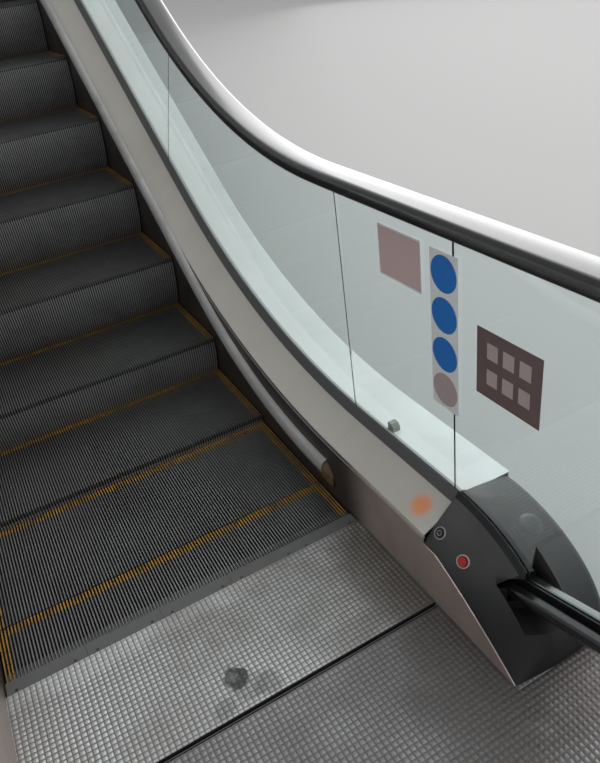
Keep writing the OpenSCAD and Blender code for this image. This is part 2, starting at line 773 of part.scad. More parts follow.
// Sheets of glass between the newels, parted by open joints
glass_z = deck_z + clamp_n;
joint_y = 75;
joint_first = 1032;
slant_joints = 4;
module newel_glass() {
    r = newel_r + glass_n;
    foot = [-newel_foot[0] - glass_n * sin(inlet_slope), newel_foot[1] - glass_n * cos(inlet_slope)];
    reach = newel_foot[0] - inlet_y + glass_n;
    translate([-newel_y, rail_z - newel_r]) circle(r = r, $fn = 144);
    polygon([[-newel_y, rail_z + glass_n], [-newel_y, rail_z - newel_r], foot,
        foot + reach * [1, -tan(inlet_slope)], [-inlet_y + 40, glass_z], [-deck_end + 20, glass_z],
        [-deck_end + 20, rail_z + glass_n]]);
}
module glass_shape() {
    slant = rise / sin(incline);
    step_d = (slant - 2 * joint_first + 300) / (slant_joints - 1);
    difference() {
        union() {
            newel_glass();
            translate([run_y, rise]) mirror([1, 0]) newel_glass();
            polygon(concat(run_points(rail_z, rail_drop, rail_r, glass_n, -deck_end,
                run_y + deck_end, 24),
                flip(deck_points(clamp_n + seat, -deck_end, run_y + deck_end))));
        }
        for (y = [joint_y, run_y - joint_y]) translate([y, -floor_h])
            square([glass_gap, rise + 2 * floor_h + rail_z]);
        for (i = [0 : slant_joints - 1])
            translate([corner_y, 0] + (joint_first + i * step_d) * [cos(incline), sin(incline)])
                rotate(incline) translate([0, -floor_h]) square([glass_gap, rail_z + 2 * floor_h]);
    }
}
module glass() {
    color([0.75, 0.9, 0.85, 0.4]) upright(glass_x, glass_t) glass_shape();
}
module glass_right() { home() glass(); }
module glass_left() { home() at_left() glass(); }

// Newel base: a moulded cover lofted across the width. From the skirt to the glass its outline
// goes over from the skirt's edge to a quarter ellipse, the crown; beyond the glass it is lower.
cap_steps = 14;
edge_x = glass_x - 5;
cap_xs = [skirt_x, skirt_x + 12, skirt_x + 32, skirt_x + 56, skirt_x + 80, edge_x,
    outer_x + 40, side_x - 14, side_x];
function edge_point(u) = let (y = deck_end + (skirt_end - deck_end) * u,
    t = max(0, (y - edge_y) / (skirt_end - edge_y)))
    [-y, cap_edge + (floor_z - cap_edge) * t + edge_bulge * t * (1 - t)];
function crown_point(x, a) = let (
    drop = lookup(x, [[edge_x, 0], [outer_x + 40, 8], [side_x - 14, 20], [side_x, 34]]),
    back = lookup(x, [[outer_x + 40, 0], [side_x - 14, 2], [side_x, 10]]))
    [-deck_end - (cap_end - back - deck_end) * sin(a), floor_z + (cap_h - drop - floor_z) * cos(a)];
function cap_point(x, a) = let (f = min(1, (x - skirt_x) / (edge_x - skirt_x)) ^ 0.85)
    (1 - f) * edge_point(sin(a)) + f * crown_point(x, a);
function cap_section(x) = [for (i = [-1 : cap_steps])
    let (q = i < 0 ? [-deck_end, floor_z] : cap_point(x, 90 * i / cap_steps)) [x, q[0], q[1]]];

// A solid through sections with as many points each, from left to right
module loft(sections) {
    m = len(sections[0]);
    n = len(sections);
    polyhedron([for (c = sections, q = c) q], concat(
        [[for (j = [0 : m - 1]) j]],
        [for (i = [0 : n - 2], j = [0 : m - 1]) each let (a = i * m + j, b = i * m + (j + 1) % m)
            [[a, a + m, b], [b, a + m, b + m]]],
        [[for (j = [m - 1 : -1 : 0]) (n - 1) * m + j]]));
}
module cap_body() {
    loft([for (x = cap_xs) cap_section(x)]);
}
port_w = 120;
port_z = 105;
port_back = inlet_y - 8;
port_point = inlet_y + 29;
slot_gap = 3;
// Plan of the port round the handrail: its back runs forward to the glass from both sides
function port_plan(gap) = [[mid_x - port_w / 2 + gap, -port_back - gap],
    [glass_x, -port_point - gap], [glass_x + glass_t, -port_point - gap],
    [mid_x + port_w / 2 - gap, -port_back - gap]];
module glass_slot(low) {
    upright(glass_x - slot_gap, glass_t + 2 * slot_gap)
        polygon([[-cap_end - 10, low], [-cap_end - 10, cap_h + 20], [-deck_end + 1, cap_h + 20],
            [-deck_end + 1, low]]);
}
module cap() {
    difference() {
        cap_body();
        glass_slot(glass_z - slot_gap);
        translate([0, 0, port_z]) linear_extrude(cap_h) polygon(concat(port_plan(0),
            [[mid_x + port_w / 2, -cap_end - 10], [mid_x - port_w / 2, -cap_end - 10]]));
        translate([mid_x - rail_w / 2 - 4, -newel_foot[0], newel_foot[1]])
            rotate([-inlet_slope, 0, 0]) translate([0, 0, -rail_t - 4])
            cube([rail_w + 8, 700, rail_t + 20]);
    }
}

// Plate that closes the port round the handrail
inlet_t = 6;
inlet_h = 62;
module inlet() {
    mouth = rail_w + 6;
    difference() {
        translate([0, 0, port_z]) linear_extrude(inlet_h) polygon(concat(port_plan(seat),
            [for (q = flip(port_plan(seat))) q - [0, inlet_t]]));
        glass_slot(glass_z);
        translate([mid_x - mouth / 2, -newel_foot[0], newel_foot[1]])
            rotate([-inlet_slope, 0, 0]) translate([0, 0, -rail_t - 4])
            cube([mouth, 700, rail_t + 20]);
    }
}
module inlets() {
    inlet();
    at_left() inlet();
}
module inlets_lower() { home() color("black") inlets(); }
module inlets_upper() { home() at_top() color("black") inlets(); }

// Places of the two controls on the flank of the lower right newel base: [place, dip, tilt]
button_at = [[skirt_x + 31.5, -492, 193], 15.8, 50];
key_at = [[skirt_x + 31, -410.5, 216.5], 0.9, 45.4];
bore_h = 26;
ring_up = 3;
module on_flank(spot) {
    translate(spot[0]) rotate([spot[1], -spot[2], 0]) children();
}
module control_bore(d) {
    translate([0, 0, -bore_h]) cylinder(h = 3 * bore_h, d = d + 2 * ring_w);
}
module control_ring(d) {
    translate([0, 0, -bore_h + 0.5]) difference() {
        cylinder(h = bore_h + ring_up, d = d + 2 * ring_w - 2 * seat);
        translate([0, 0, -1]) cylinder(h = bore_h + 10, d = d + 2 * control_gap);
    }
}

module newel_base_lower_right() {
    home() color([0.2, 0.2, 0.2]) difference() {
        cap();
        on_flank(button_at) control_bore(button_d);
        on_flank(key_at) control_bore(key_d);
    }
}
module control_rings() {
    home() color("lightgray") {
        on_flank(button_at) control_ring(button_d);
        on_flank(key_at) control_ring(key_d);
    }
}
module newel_base_lower_left() { home() color([0.2, 0.2, 0.2]) at_left() cap(); }
module newel_bases_upper() {
    home() at_top() color([0.2, 0.2, 0.2]) {
        cap();
        at_left() cap();
    }
}

module stop_button() {
    home() color("red") on_flank(button_at) translate([0, 0, -bore_h + button_travel + 1])
        cylinder(h = bore_h + ring_up, d = button_d);
}
module key_switch() {
    home() color("silver") on_flank(key_at) translate([0, 0, -bore_h + 0.5]) difference() {
        cylinder(h = bore_h + ring_up + 2, d = key_d);
        translate([-1.5, -5, bore_h - 3]) cube([3, 10, 20]);
    }
}

steps_1();
steps_2();
steps_3();
steps_4();
steps_5();
tracks();
comb_lower();
comb_upper();
comb_carrier_lower();
comb_carrier_upper();
floor_covers_lower();
floor_covers_upper();
landing_frame_lower();
landing_frame_upper();
lower_bearing();
upper_bearing();
truss_left();
truss_right();
cross_beams();
side_panels_left();
side_panels_right();
soffit();
end_plate();
skirt_left();
skirt_right();
deflectors();
inner_deck_left();
inner_deck_right();
outer_deck_left();
outer_deck_right();
gaskets_left();
gaskets_right();
glass_clamps();
glass_left();
glass_right();
handrail_guides();
handrail_left();
handrail_right();
newel_base_lower_left();
newel_base_lower_right();
newel_bases_upper();
inlets_lower();
inlets_upper();
control_rings();
deck_block();
stop_button();
key_switch();
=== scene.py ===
# %% [markdown]
# # A glass-sided escalator
# The machine comes in as solids from its CAD model. This notebook dresses it: it adds the fine
# forms that the solids leave out, gives every surface its finish, and sets up a plain studio with
# a camera at the photograph's viewpoint on the lower landing.

# %% Load the solids
import json
import math

import bpy
import numpy as np
from mathutils import Matrix, Vector


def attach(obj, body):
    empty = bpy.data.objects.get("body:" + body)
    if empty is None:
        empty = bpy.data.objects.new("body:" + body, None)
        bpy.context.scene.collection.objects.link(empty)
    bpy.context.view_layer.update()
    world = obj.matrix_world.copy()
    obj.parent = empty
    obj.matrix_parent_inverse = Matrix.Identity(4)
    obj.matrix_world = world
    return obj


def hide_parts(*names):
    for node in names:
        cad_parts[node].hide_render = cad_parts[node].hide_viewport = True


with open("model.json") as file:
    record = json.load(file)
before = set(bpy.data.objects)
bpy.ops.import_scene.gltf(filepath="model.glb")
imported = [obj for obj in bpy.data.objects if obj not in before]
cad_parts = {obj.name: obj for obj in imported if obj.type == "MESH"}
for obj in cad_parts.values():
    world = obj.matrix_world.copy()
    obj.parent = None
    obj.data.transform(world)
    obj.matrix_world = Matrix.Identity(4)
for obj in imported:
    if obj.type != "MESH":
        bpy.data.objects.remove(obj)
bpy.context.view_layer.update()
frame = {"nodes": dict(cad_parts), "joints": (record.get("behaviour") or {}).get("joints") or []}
node = frame["nodes"]

# %% [markdown]
# ## Sizes of the machine
# The same driving sizes as in the CAD model, in metres. The working frame has its origin on the
# centre line at the lower comb tips, at tread level; HOME moves a point from there into the part's
# frame, whose origin is under the lower bearing. Rows of points are N x 3 arrays.

# %% Driving sizes
HOME = np.array([0.0, 1.525, 0.150])
RISE, INCLINE = 3.4, math.radians(35)
# Steps: level run beside each comb, radius of the bends, pitch, first nose, width and cleats
LEVEL_RUN, NOSE_R = 0.297, 1.170
STEP_PITCH, FIRST_NOSE = 0.405, 0.156
STEP_W, CLEATS = 0.996, 113
CLEAT_PITCH = STEP_W / CLEATS
# Decks and handrails: height over the landing, drop on the incline, radius of the bends
DECK_Z, DECK_DROP, DECK_R = 0.208, 0.048, 2.200
RAIL_Z, RAIL_DROP, RAIL_R = 0.933, 0.018, 1.820
# Across: skirt, glass and its middle, outer side; the floor plates' height over the treads
SKIRT_X, GLASS_X, GLASS_T = 0.505, 0.615, 0.010
MID_X, SIDE_X = 0.620, 0.775
FLOOR_Z = 0.012
CORNER_Y = LEVEL_RUN + NOSE_R * math.tan(INCLINE / 2)
RUN_Y = 2 * CORNER_Y + RISE / math.tan(INCLINE)
print("run between the combs:", round(RUN_Y, 4), "m")

# %% [markdown]
# ## The step noses
# Noses sit one pitch apart along a path that is level, bends up, climbs at 35 degrees, bends back
# and is level again. The same arc-length formula as in the CAD model gives each nose its place.

# %% Where the step noses are
def nose_places():
    """Y and Z of each nose: the path is split at its straights and arcs by length along it."""
    bend = NOSE_R * INCLINE
    slant = (RUN_Y - 2 * LEVEL_RUN - 2 * NOSE_R * math.sin(INCLINE)) / math.cos(INCLINE)
    total = 2 * LEVEL_RUN + 2 * bend + slant
    count = math.ceil((total - FIRST_NOSE) / STEP_PITCH) + 1
    s = FIRST_NOSE + (np.arange(count) - 1) * STEP_PITCH
    a = np.clip((s - LEVEL_RUN) / NOSE_R, 0, INCLINE)
    d = np.clip(s - LEVEL_RUN - bend, 0, slant)
    b = np.clip((s - LEVEL_RUN - bend - slant) / NOSE_R, 0, INCLINE)
    last = np.clip(s - total + LEVEL_RUN, 0, None)
    y = (np.clip(s, None, LEVEL_RUN) + NOSE_R * np.sin(a) + d * math.cos(INCLINE)
         + NOSE_R * (math.sin(INCLINE) - np.sin(INCLINE - b)) + last)
    z = (NOSE_R * (1 - np.cos(a)) + d * math.sin(INCLINE)
         + NOSE_R * (np.cos(INCLINE - b) - math.cos(INCLINE)))
    return np.column_stack([np.zeros(count), y, z])


NOSES = nose_places()
print("step noses:", len(NOSES))

# %% [markdown]
# ## Camera
# The photograph was taken from the lower landing, looking down at the right-hand side. The camera's
# place, direction and roll were solved from the step pitch and the width between the skirts.

# %% Camera
PHOTO_WIDTH, FOCAL_PIXELS, SENSOR = 600, 692.16, 36.0
EYE = Vector((-0.188, -1.363, 1.441))
RIGHT = Vector((0.87029, -0.47573, -0.12759))
DOWN = Vector((-0.35416, -0.42440, -0.83334))
AHEAD = Vector((0.34230, 0.77043, -0.53783))
lens = bpy.data.cameras.new("camera")
lens.sensor_fit = "HORIZONTAL"
lens.sensor_width = SENSOR
lens.lens = FOCAL_PIXELS / PHOTO_WIDTH * SENSOR
lens.clip_start = 0.05
camera = bpy.data.objects.new("camera", lens)
bpy.context.scene.collection.objects.link(camera)
turn = Matrix((RIGHT, -DOWN, -AHEAD)).transposed().to_4x4()
camera.matrix_world = Matrix.Translation(EYE + Vector(HOME)) @ turn
bpy.context.scene.camera = camera
print("camera at", tuple(round(c, 3) for c in camera.location))

# %% [markdown]
# ## Turning formulas into meshes
# Every added piece is a grid of points or a profile carried along a path, worked out as whole
# arrays. These helpers turn three coordinates into a grid with its faces, join parts into one, and
# put a form that was drawn at the lower right where it belongs, mirrored to the left side or to the
# upper landing.

# %% Helpers for grids
def grid_faces(rows, cols, close_rows=False, close_cols=False):
    """Quads between neighbouring points of a rows x cols grid, wrapping where it is closed."""
    i = np.arange(rows if close_rows else rows - 1)[:, None]
    j = np.arange(cols if close_cols else cols - 1)[None, :]
    a = i * cols + j
    b = i * cols + (j + 1) % cols
    c = (i + 1) % rows * cols + (j + 1) % cols
    d = (i + 1) % rows * cols + j
    return np.stack(np.broadcast_arrays(a, b, c, d), -1).reshape(-1, 4)


def points_at(x, y, z):
    """Points from coordinates that are arrays or single numbers."""
    return np.stack(np.broadcast_arrays(x, y, z), -1)


def sheet(x, y, z, close_rows=False, close_cols=False):
    """The points and quads of a grid, from its coordinates."""
    points = points_at(x, y, z)
    return points.reshape(-1, 3), grid_faces(*points.shape[:2], close_rows, close_cols)


def join(parts):
    """One array of points and one of faces from several, with the indices shifted."""
    starts = np.cumsum([0] + [len(p) for p, _ in parts[:-1]])
    return (np.concatenate([p for p, _ in parts]),
            np.concatenate([f + s for (_, f), s in zip(parts, starts)]))


def placed(points, faces, side=1, upper=False):
    """A form of the lower right put where it belongs; an odd number of mirrors flips it."""
    points = points * [side, 1, 1]
    if upper:
        points = points * [1, -1, 1] + [0, RUN_Y, RISE]
    return points + HOME, faces[:, ::-1] if (side < 0) != upper else faces


print("grid helpers ready")

# %% [markdown]
# One more helper writes the arrays into a mesh. It also attaches the piece to the body it moves
# with, and smooths all edges under an angle, so that corners stay crisp.

# %% Helper for a piece
def piece(name, points, faces, look, slot, smooth=True, angle=35, body="machine"):
    """A mesh object in the part's frame; its body and finish are set here. The slot is not used."""
    mesh = bpy.data.meshes.new(name)
    points = np.ascontiguousarray(points, dtype=np.float32)
    faces = np.ascontiguousarray(faces, dtype=np.int32)
    mesh.vertices.add(len(points))
    mesh.vertices.foreach_set("co", points.ravel())
    mesh.loops.add(faces.size)
    mesh.loops.foreach_set("vertex_index", faces.ravel())
    mesh.polygons.add(len(faces))
    mesh.polygons.foreach_set("loop_start", np.arange(len(faces), dtype=np.int32) * faces.shape[1])
    mesh.update(calc_edges=True)
    mesh.validate()
    if smooth:
        mesh.shade_smooth()
        mesh.set_sharp_from_angle(angle=math.radians(angle))
    mesh.materials.append(look)
    made = bpy.data.objects.new(name, mesh)
    bpy.context.scene.collection.objects.link(made)
    if body:
        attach(made, body)
    print(name, "faces:", len(faces))
    return made


print("piece helper ready")

# %% [markdown]
# ## Nodes as formulas
# A finish is a small graph of shader nodes. These helpers add a node and fill or link its inputs,
# so that a graph reads like a formula. Patterns use Object coordinates: every mesh is drawn in the
# part's frame, so the coordinate is a point of that frame, and a formula knows where it is.

# %% Helpers for nodes
def fill(made, inputs):
    """Fill a node's inputs: the socket of another node is linked, a plain value is set."""
    for name, value in inputs.items():
        if isinstance(value, bpy.types.NodeSocket):
            made.id_data.links.new(value, made.inputs[name])
        else:
            made.inputs[name].default_value = value
    return made.outputs


def add_node(tree, kind, inputs):
    """A new shader node with its inputs filled; returns its outputs."""
    return fill(tree.nodes.new("ShaderNode" + kind), inputs)


def math_node(tree, operation, *values):
    """A math node on sockets or numbers; returns its output."""
    made = tree.nodes.new("ShaderNodeMath")
    made.operation = operation
    return fill(made, dict(enumerate(values)))[0]


def vector_node(tree, operation, *values):
    """The same on vectors; returns all its outputs, since a length comes out as Value."""
    made = tree.nodes.new("ShaderNodeVectorMath")
    made.operation = operation
    return fill(made, dict(enumerate(values)))


def ramp(tree, value, low, high, start=0.0, to=1.0, smooth=True):
    """Map Range from `start` at low to `to` at high, clamped; an S curve or a straight line."""
    made = tree.nodes.new("ShaderNodeMapRange")
    made.interpolation_type = "SMOOTHSTEP" if smooth else "LINEAR"
    return fill(made, {"Value": value, "From Min": low, "From Max": high, "To Min": start,
                       "To Max": to})["Result"]


def mixed(tree, factor, below, above):
    """The colour below where the factor is 0, and above where it is 1."""
    made = tree.nodes.new("ShaderNodeMix")
    made.data_type = "RGBA"
    return fill(made, {"Factor": factor, "A": below, "B": above})["Result"]


print("node helpers ready")

# %% [markdown]
# A pattern needs to know where it is. These helpers measure places on the machine: along one axis,
# from a point or an axis, behind the nearest comb, and within a pitch that repeats.

# %% Helpers for places
def object_point(tree):
    """Object coordinates: the point of the part's frame that is being coloured."""
    return add_node(tree, "TexCoord", {})["Object"]


def along(tree, axis):
    """One of the object coordinates, by its number."""
    return add_node(tree, "SeparateXYZ", {0: object_point(tree)})[axis]


def from_point(tree, place, axis=None):
    """Distance from a point of the part's frame, or from the axis through it."""
    away = vector_node(tree, "SUBTRACT", object_point(tree), tuple(place))[0]
    if axis is not None:
        away = vector_node(tree, "CROSS_PRODUCT", away, tuple(axis))[0]
    return vector_node(tree, "LENGTH", away)["Value"]


def past_comb(tree):
    """Distance in Y behind the comb tips, alike at both landings: |Y - middle| - half the run."""
    middle = HOME[1] + RUN_Y / 2
    off = math_node(tree, "ABSOLUTE", math_node(tree, "SUBTRACT", along(tree, 1), middle))
    return math_node(tree, "SUBTRACT", off, RUN_Y / 2)


def off_middle(tree, place, pitch, shift):
    """Share of a pitch from its middle: |fraction of (place / pitch + shift) - 1/2|."""
    phase = math_node(tree, "FRACT", math_node(tree, "MULTIPLY_ADD", place, 1 / pitch, shift))
    return math_node(tree, "ABSOLUTE", math_node(tree, "SUBTRACT", phase, 0.5))


print("place helpers ready")

# %% [markdown]
# ## Finishes
# One function builds each finish from its plain numbers. Colour, roughness and metal go on the
# shader's own sockets. Soft stains come from a large noise that also makes the dirt duller, and the
# grain of cast or painted metal is a fine noise in the bump.

# %% Helpers for finishes
def finish(name, colour, rough=0.5, metal=0.0, stain=0.0, stain_scale=3.0, dirt=(0.2, 0.18, 0.15),
           grain=0.0, grain_scale=400.0, coat=0.0, rough_vary=0.0, ior=1.5):
    """A principled finish: colour mixed with dirt by soft noise, and bump by fine grain."""
    made = bpy.data.materials.new(name)
    made.use_nodes = True
    made.diffuse_color = (*colour, 1)
    tree = made.node_tree
    shader = tree.nodes["Principled BSDF"]
    fill(shader, {"Base Color": (*colour, 1), "Roughness": rough, "Metallic": metal, "IOR": ior,
                  "Coat Weight": coat, "Coat Roughness": max(0.08, rough)})
    if stain:
        noise = add_node(tree, "TexNoise", {"Vector": object_point(tree), "Scale": stain_scale,
                                            "Detail": 8, "Roughness": 0.62})["Fac"]
        share = ramp(tree, noise, 0.42, 0.72, to=stain, smooth=False)
        fill(shader, {"Base Color": mixed(tree, share, (*colour, 1), (*dirt, 1))})
        if rough_vary:
            dull = min(1.0, rough + rough_vary)
            fill(shader, {"Roughness": ramp(tree, noise, 0.35, 0.7, rough, dull, smooth=False)})
    if grain:
        fine = add_node(tree, "TexNoise", {"Vector": object_point(tree), "Scale": grain_scale,
                                           "Detail": 3})["Fac"]
        bump = add_node(tree, "Bump", {"Strength": grain, "Distance": 0.0006, "Height": fine})
        fill(shader, {"Normal": bump["Normal"]})
    return made


def stain_noise(made):
    """The soft noise that a finish's stains follow: the first noise in its graph."""
    return next(n for n in made.node_tree.nodes if n.type == "TEX_NOISE").outputs["Fac"]


def over(made, factor, colour):
    """Lay a colour over a finish where the factor is 1."""
    base = made.node_tree.nodes["Principled BSDF"].inputs["Base Color"]
    below = base.links[0].from_socket if base.links else base.default_value[:]
    made.node_tree.links.new(mixed(made.node_tree, factor, below, (*colour, 1)), base)


def specks(made, colour, scale, share, size):
    """Small spots of dirt: cells of a Voronoi pattern, a random share of them with a dot."""
    tree = made.node_tree
    cells = add_node(tree, "TexVoronoi", {"Vector": object_point(tree), "Scale": scale})
    dot = ramp(tree, cells["Distance"], size, size * 0.5)
    chance = add_node(tree, "SeparateColor", {0: cells["Color"]})[0]
    chosen = math_node(tree, "LESS_THAN", chance, share)
    over(made, math_node(tree, "MULTIPLY", dot, chosen), colour)


def dress(made, *names):
    """Give CAD nodes a finish by their material slots."""
    for n in names:
        for s in node[n].material_slots:
            s.material = made


print("finish helpers ready")

# %% [markdown]
# ## Step alloy
# Treads are die-cast aluminium. The cleat tops are worn bright by shoes, while the grooves hold
# years of black dust. Across the width the colour is a square wave with the cleats' own pitch, so
# one formula on Object X tells top from groove on every step at once.

# %% Step finish
CLEAT_SHARE, CLEAT_BLUR = 0.4, 0.03
step_alloy = finish("step_alloy_worn", (0.262, 0.263, 0.265), 0.40, 0.8, stain=0.35, stain_scale=5,
                    dirt=(0.16, 0.15, 0.14), rough_vary=0.2)
tree = step_alloy.node_tree
groove = ramp(tree, off_middle(tree, along(tree, 0), CLEAT_PITCH, CLEATS / 2 + 10),
              CLEAT_SHARE / 2 - CLEAT_BLUR, CLEAT_SHARE / 2 + CLEAT_BLUR, smooth=False)
over(step_alloy, groove, (0.007, 0.007, 0.007))
dress(step_alloy, "steps_1", "steps_2", "steps_3", "steps_4", "steps_5")
print("steps dressed")

# %% [markdown]
# ## Combs and structure
# The comb segments are cast alloy, bright where shoes rub them. Toward the tips their colour goes
# over to a painted shade of the narrow teeth in their gaps. What carries the machine is primed
# steel, and the outside is clad in painted sheet with a faint grain.

# %% Combs, structure and cladding
comb_alloy = finish("comb_cast", (0.128, 0.133, 0.130), 0.50, 0.40, stain=0.5, stain_scale=14,
                    dirt=(0.13, 0.12, 0.10), grain=0.25, grain_scale=900, rough_vary=0.2)
specks(comb_alloy, (0.10, 0.09, 0.08), 40, 0.22, 0.09)
tree = comb_alloy.node_tree
# Painted shade: the colour darkens over the last 34 mm to the comb tips, standing in for the shade
# of the teeth.
over(comb_alloy, ramp(tree, past_comb(tree), 0.034, 0.006, to=0.72), (0.045, 0.043, 0.040))
dress(comb_alloy, "comb_lower", "comb_upper")
structure_paint = finish("structure_paint", (0.25, 0.26, 0.27), 0.6, stain=0.4, stain_scale=2)
dress(structure_paint, "tracks", "landing_frame_lower", "landing_frame_upper", "lower_bearing",
      "upper_bearing", "truss_left", "truss_right", "cross_beams")
cladding = finish("cladding_paint", (0.62, 0.62, 0.60), 0.35, stain=0.14, stain_scale=1.5,
                  dirt=(0.42, 0.40, 0.36), grain=0.08, grain_scale=700)
dress(cladding, "side_panels_left", "side_panels_right", "soffit", "end_plate")
print("combs, structure and cladding dressed")

# %% [markdown]
# ## Skirts and deflectors
# Skirts are low-friction coated sheet with a brown tint. Along the run their colour is dark, going
# over to the tint within 17 cm behind the comb tips. The deflectors have an alloy holder.

# %% Skirts and deflectors
skirt_paint = finish("skirt_metal", (0.500, 0.410, 0.378), 0.30, 0.40, stain=0.5, stain_scale=4,
                     dirt=(0.27, 0.22, 0.20), grain=0.05, grain_scale=300, rough_vary=0.25)
tree = skirt_paint.node_tree
# Dark along the run; the brown tint shows only from 17 cm behind the comb tips.
over(skirt_paint, ramp(tree, past_comb(tree), 0.17, 0.0, to=0.93), (0.044, 0.038, 0.035))
dress(skirt_paint, "skirt_left", "skirt_right")
deflector_metal = finish("deflector_holder", (0.56, 0.55, 0.545), 0.38, 0.45, stain=0.5,
                         stain_scale=5, dirt=(0.24, 0.22, 0.21), rough_vary=0.2)
dress(deflector_metal, "deflectors")
print("skirts and deflectors dressed")

# %% [markdown]
# ## Decks
# Inner and outer decks are satin sheet with dust in soft patches and specks of grit. On the inner
# deck, beside the stop button, is an orange spot whose strength falls off with the distance from
# its middle.

# %% Decks and their block
FADED_MARK = np.array([0.553, -0.318, 0.222])
inner_paint = finish("inner_deck_satin", (0.48, 0.46, 0.42), 0.38, 0.1, stain=0.28, stain_scale=3,
                     dirt=(0.30, 0.27, 0.23), grain=0.06, grain_scale=500, rough_vary=0.2)
tree = inner_paint.node_tree
over(inner_paint, ramp(tree, from_point(tree, FADED_MARK + HOME), 0.042, 0.016, to=0.92),
     (0.72, 0.27, 0.12))
specks(inner_paint, (0.22, 0.20, 0.17), 20, 0.25, 0.05)
dress(inner_paint, "inner_deck_left", "inner_deck_right")
outer_paint = finish("outer_deck_satin", (0.90, 0.92, 0.91), 0.30, 0.0, stain=0.22, stain_scale=3,
                     dirt=(0.48, 0.47, 0.44), grain=0.05, grain_scale=500, rough_vary=0.2)
specks(outer_paint, (0.20, 0.19, 0.17), 16, 0.30, 0.06)
dress(outer_paint, "outer_deck_left", "outer_deck_right")
block_grey = finish("block_grey", (0.30, 0.29, 0.26), 0.5, stain=0.5, stain_scale=60,
                    dirt=(0.12, 0.11, 0.10))
dress(block_grey, "deck_block")
print("decks dressed")

# %% [markdown]
# ## Gaskets, clamps and mouldings
# The gasket is dark toward the riders and pale on the far side of the glass. The newel bases are
# charcoal plastic with a fine grain and some dust. Low down they turn away from the light, so the
# colour goes over to a clean black there.

# %% Rubber, clamps and mouldings
gasket_rubber = finish("gasket_rubber", (0.100, 0.102, 0.102), 0.45, grain=0.1, grain_scale=1200)
tree = gasket_rubber.node_tree
over(gasket_rubber, ramp(tree, math_node(tree, "ABSOLUTE", along(tree, 0)), MID_X - 0.0001,
                         MID_X + 0.0001), (0.30, 0.31, 0.30))
dress(gasket_rubber, "gaskets_left", "gaskets_right")
mill_metal = finish("mill_metal", (0.50, 0.51, 0.52), 0.4, 0.7, stain=0.2)
dress(mill_metal, "glass_clamps")
guide_metal = finish("guide_metal", (0.060, 0.063, 0.063), 0.30, 0.8, stain=0.3, stain_scale=20,
                     dirt=(0.025, 0.025, 0.025))
dress(guide_metal, "handrail_guides")
moulding = finish("moulding_charcoal", (0.062, 0.061, 0.060), 0.40, stain=0.5, stain_scale=7,
                  dirt=(0.11, 0.11, 0.11), grain=0.35, grain_scale=1500, rough_vary=0.25)
tree = moulding.node_tree
over(moulding, ramp(tree, along(tree, 2), HOME[2] + 0.255, HOME[2] + 0.100, to=0.95),
     (0.008, 0.008, 0.009))
dress(moulding, "newel_base_lower_left", "newel_base_lower_right", "newel_bases_upper")
lip_rubber = finish("lip_rubber", (0.013, 0.013, 0.014), 0.5, stain=0.3, stain_scale=60,
                    dirt=(0.03, 0.03, 0.03), grain=0.1, grain_scale=1200)
dress(lip_rubber, "inlets_lower", "inlets_upper")
print("gaskets, clamps and mouldings dressed")

# %% [markdown]
# ## Stop button and key switch
# Both sit in round bezels. Their rings of colour are functions of the distance from the control's
# own axis, which the joint gives: pale outside, a coloured collar inside it, and on the key barrel
# a pale ring round a dark keyway.

# %% Rings of colour
RED, DEEP_RED = (0.42, 0.016, 0.015), (0.16, 0.006, 0.006)
PALE, CHARCOAL = (0.42, 0.41, 0.385), (0.040, 0.041, 0.042)
RING_BLUR = 0.0002


def control(joint):
    """Place and outward axis of a control, read from its joint, in the part's frame."""
    j = next(q for q in frame["joints"] if q["name"] == joint)
    return np.array(j["pos_m"]), np.array(j["axis"])


def banded(made, place, axis, bands):
    """Colours by distance from the axis: each band is (inner radius, outer radius, colour)."""
    tree = made.node_tree
    away = from_point(tree, place, axis)
    for inner, outer, colour in bands:
        over(made, math_node(tree, "MULTIPLY",
                             ramp(tree, away, inner - RING_BLUR, inner + RING_BLUR),
                             ramp(tree, away, outer + RING_BLUR, outer - RING_BLUR)), colour)


button, button_axis = control("stop_press")
key, key_axis = control("key_turn")
ring_plastic = finish("ring_plastic", CHARCOAL, 0.3)
banded(ring_plastic, button, button_axis, [(0.0, 0.0136, RED), (0.0136, 0.0300, PALE)])
banded(ring_plastic, key, key_axis, [(0.0138, 0.0300, PALE)])
dress(ring_plastic, "control_rings")
button_plastic = finish("button_plastic", RED, 0.34, coat=0.3)
banded(button_plastic, button, button_axis, [(0.0058, 0.0072, DEEP_RED),
                                             (0.0104, 0.0120, DEEP_RED)])
dress(button_plastic, "stop_button")
key_metal = finish("key_metal", CHARCOAL, 0.25, 0.6)
banded(key_metal, key, key_axis, [(0.0052, 0.0066, PALE), (0.0014, 0.0026, PALE)])
dress(key_metal, "key_switch")
print("controls dressed")

# %% [markdown]
# ## Floor plates
# The covers are aluminium with small raised squares that keep shoes from slipping. Their colour
# comes from a formula: two rounded square waves on Object X and Y tell the squares from the grooves
# where dirt settles. Near the comb, shoes have worn the cross grooves away and only ribs are left.

# %% Squares of the floor plates
STUD_PITCH, STUD_SHARE = 0.0135, 0.74
PLATE_SEAM = 0.434
# Where shoes have worn the squares into ribs: from none to full, across and along the plate
WORN_X, WORN_Y = (0.25, 0.05), (-0.150, -0.118)


def stud_wave(tree, place):
    """1 on a row of squares and 0 in the grooves beside it, along one coordinate."""
    off = off_middle(tree, place, STUD_PITCH, 500.0)
    return ramp(tree, off, STUD_SHARE / 2 + 0.09, STUD_SHARE / 2 - 0.05)


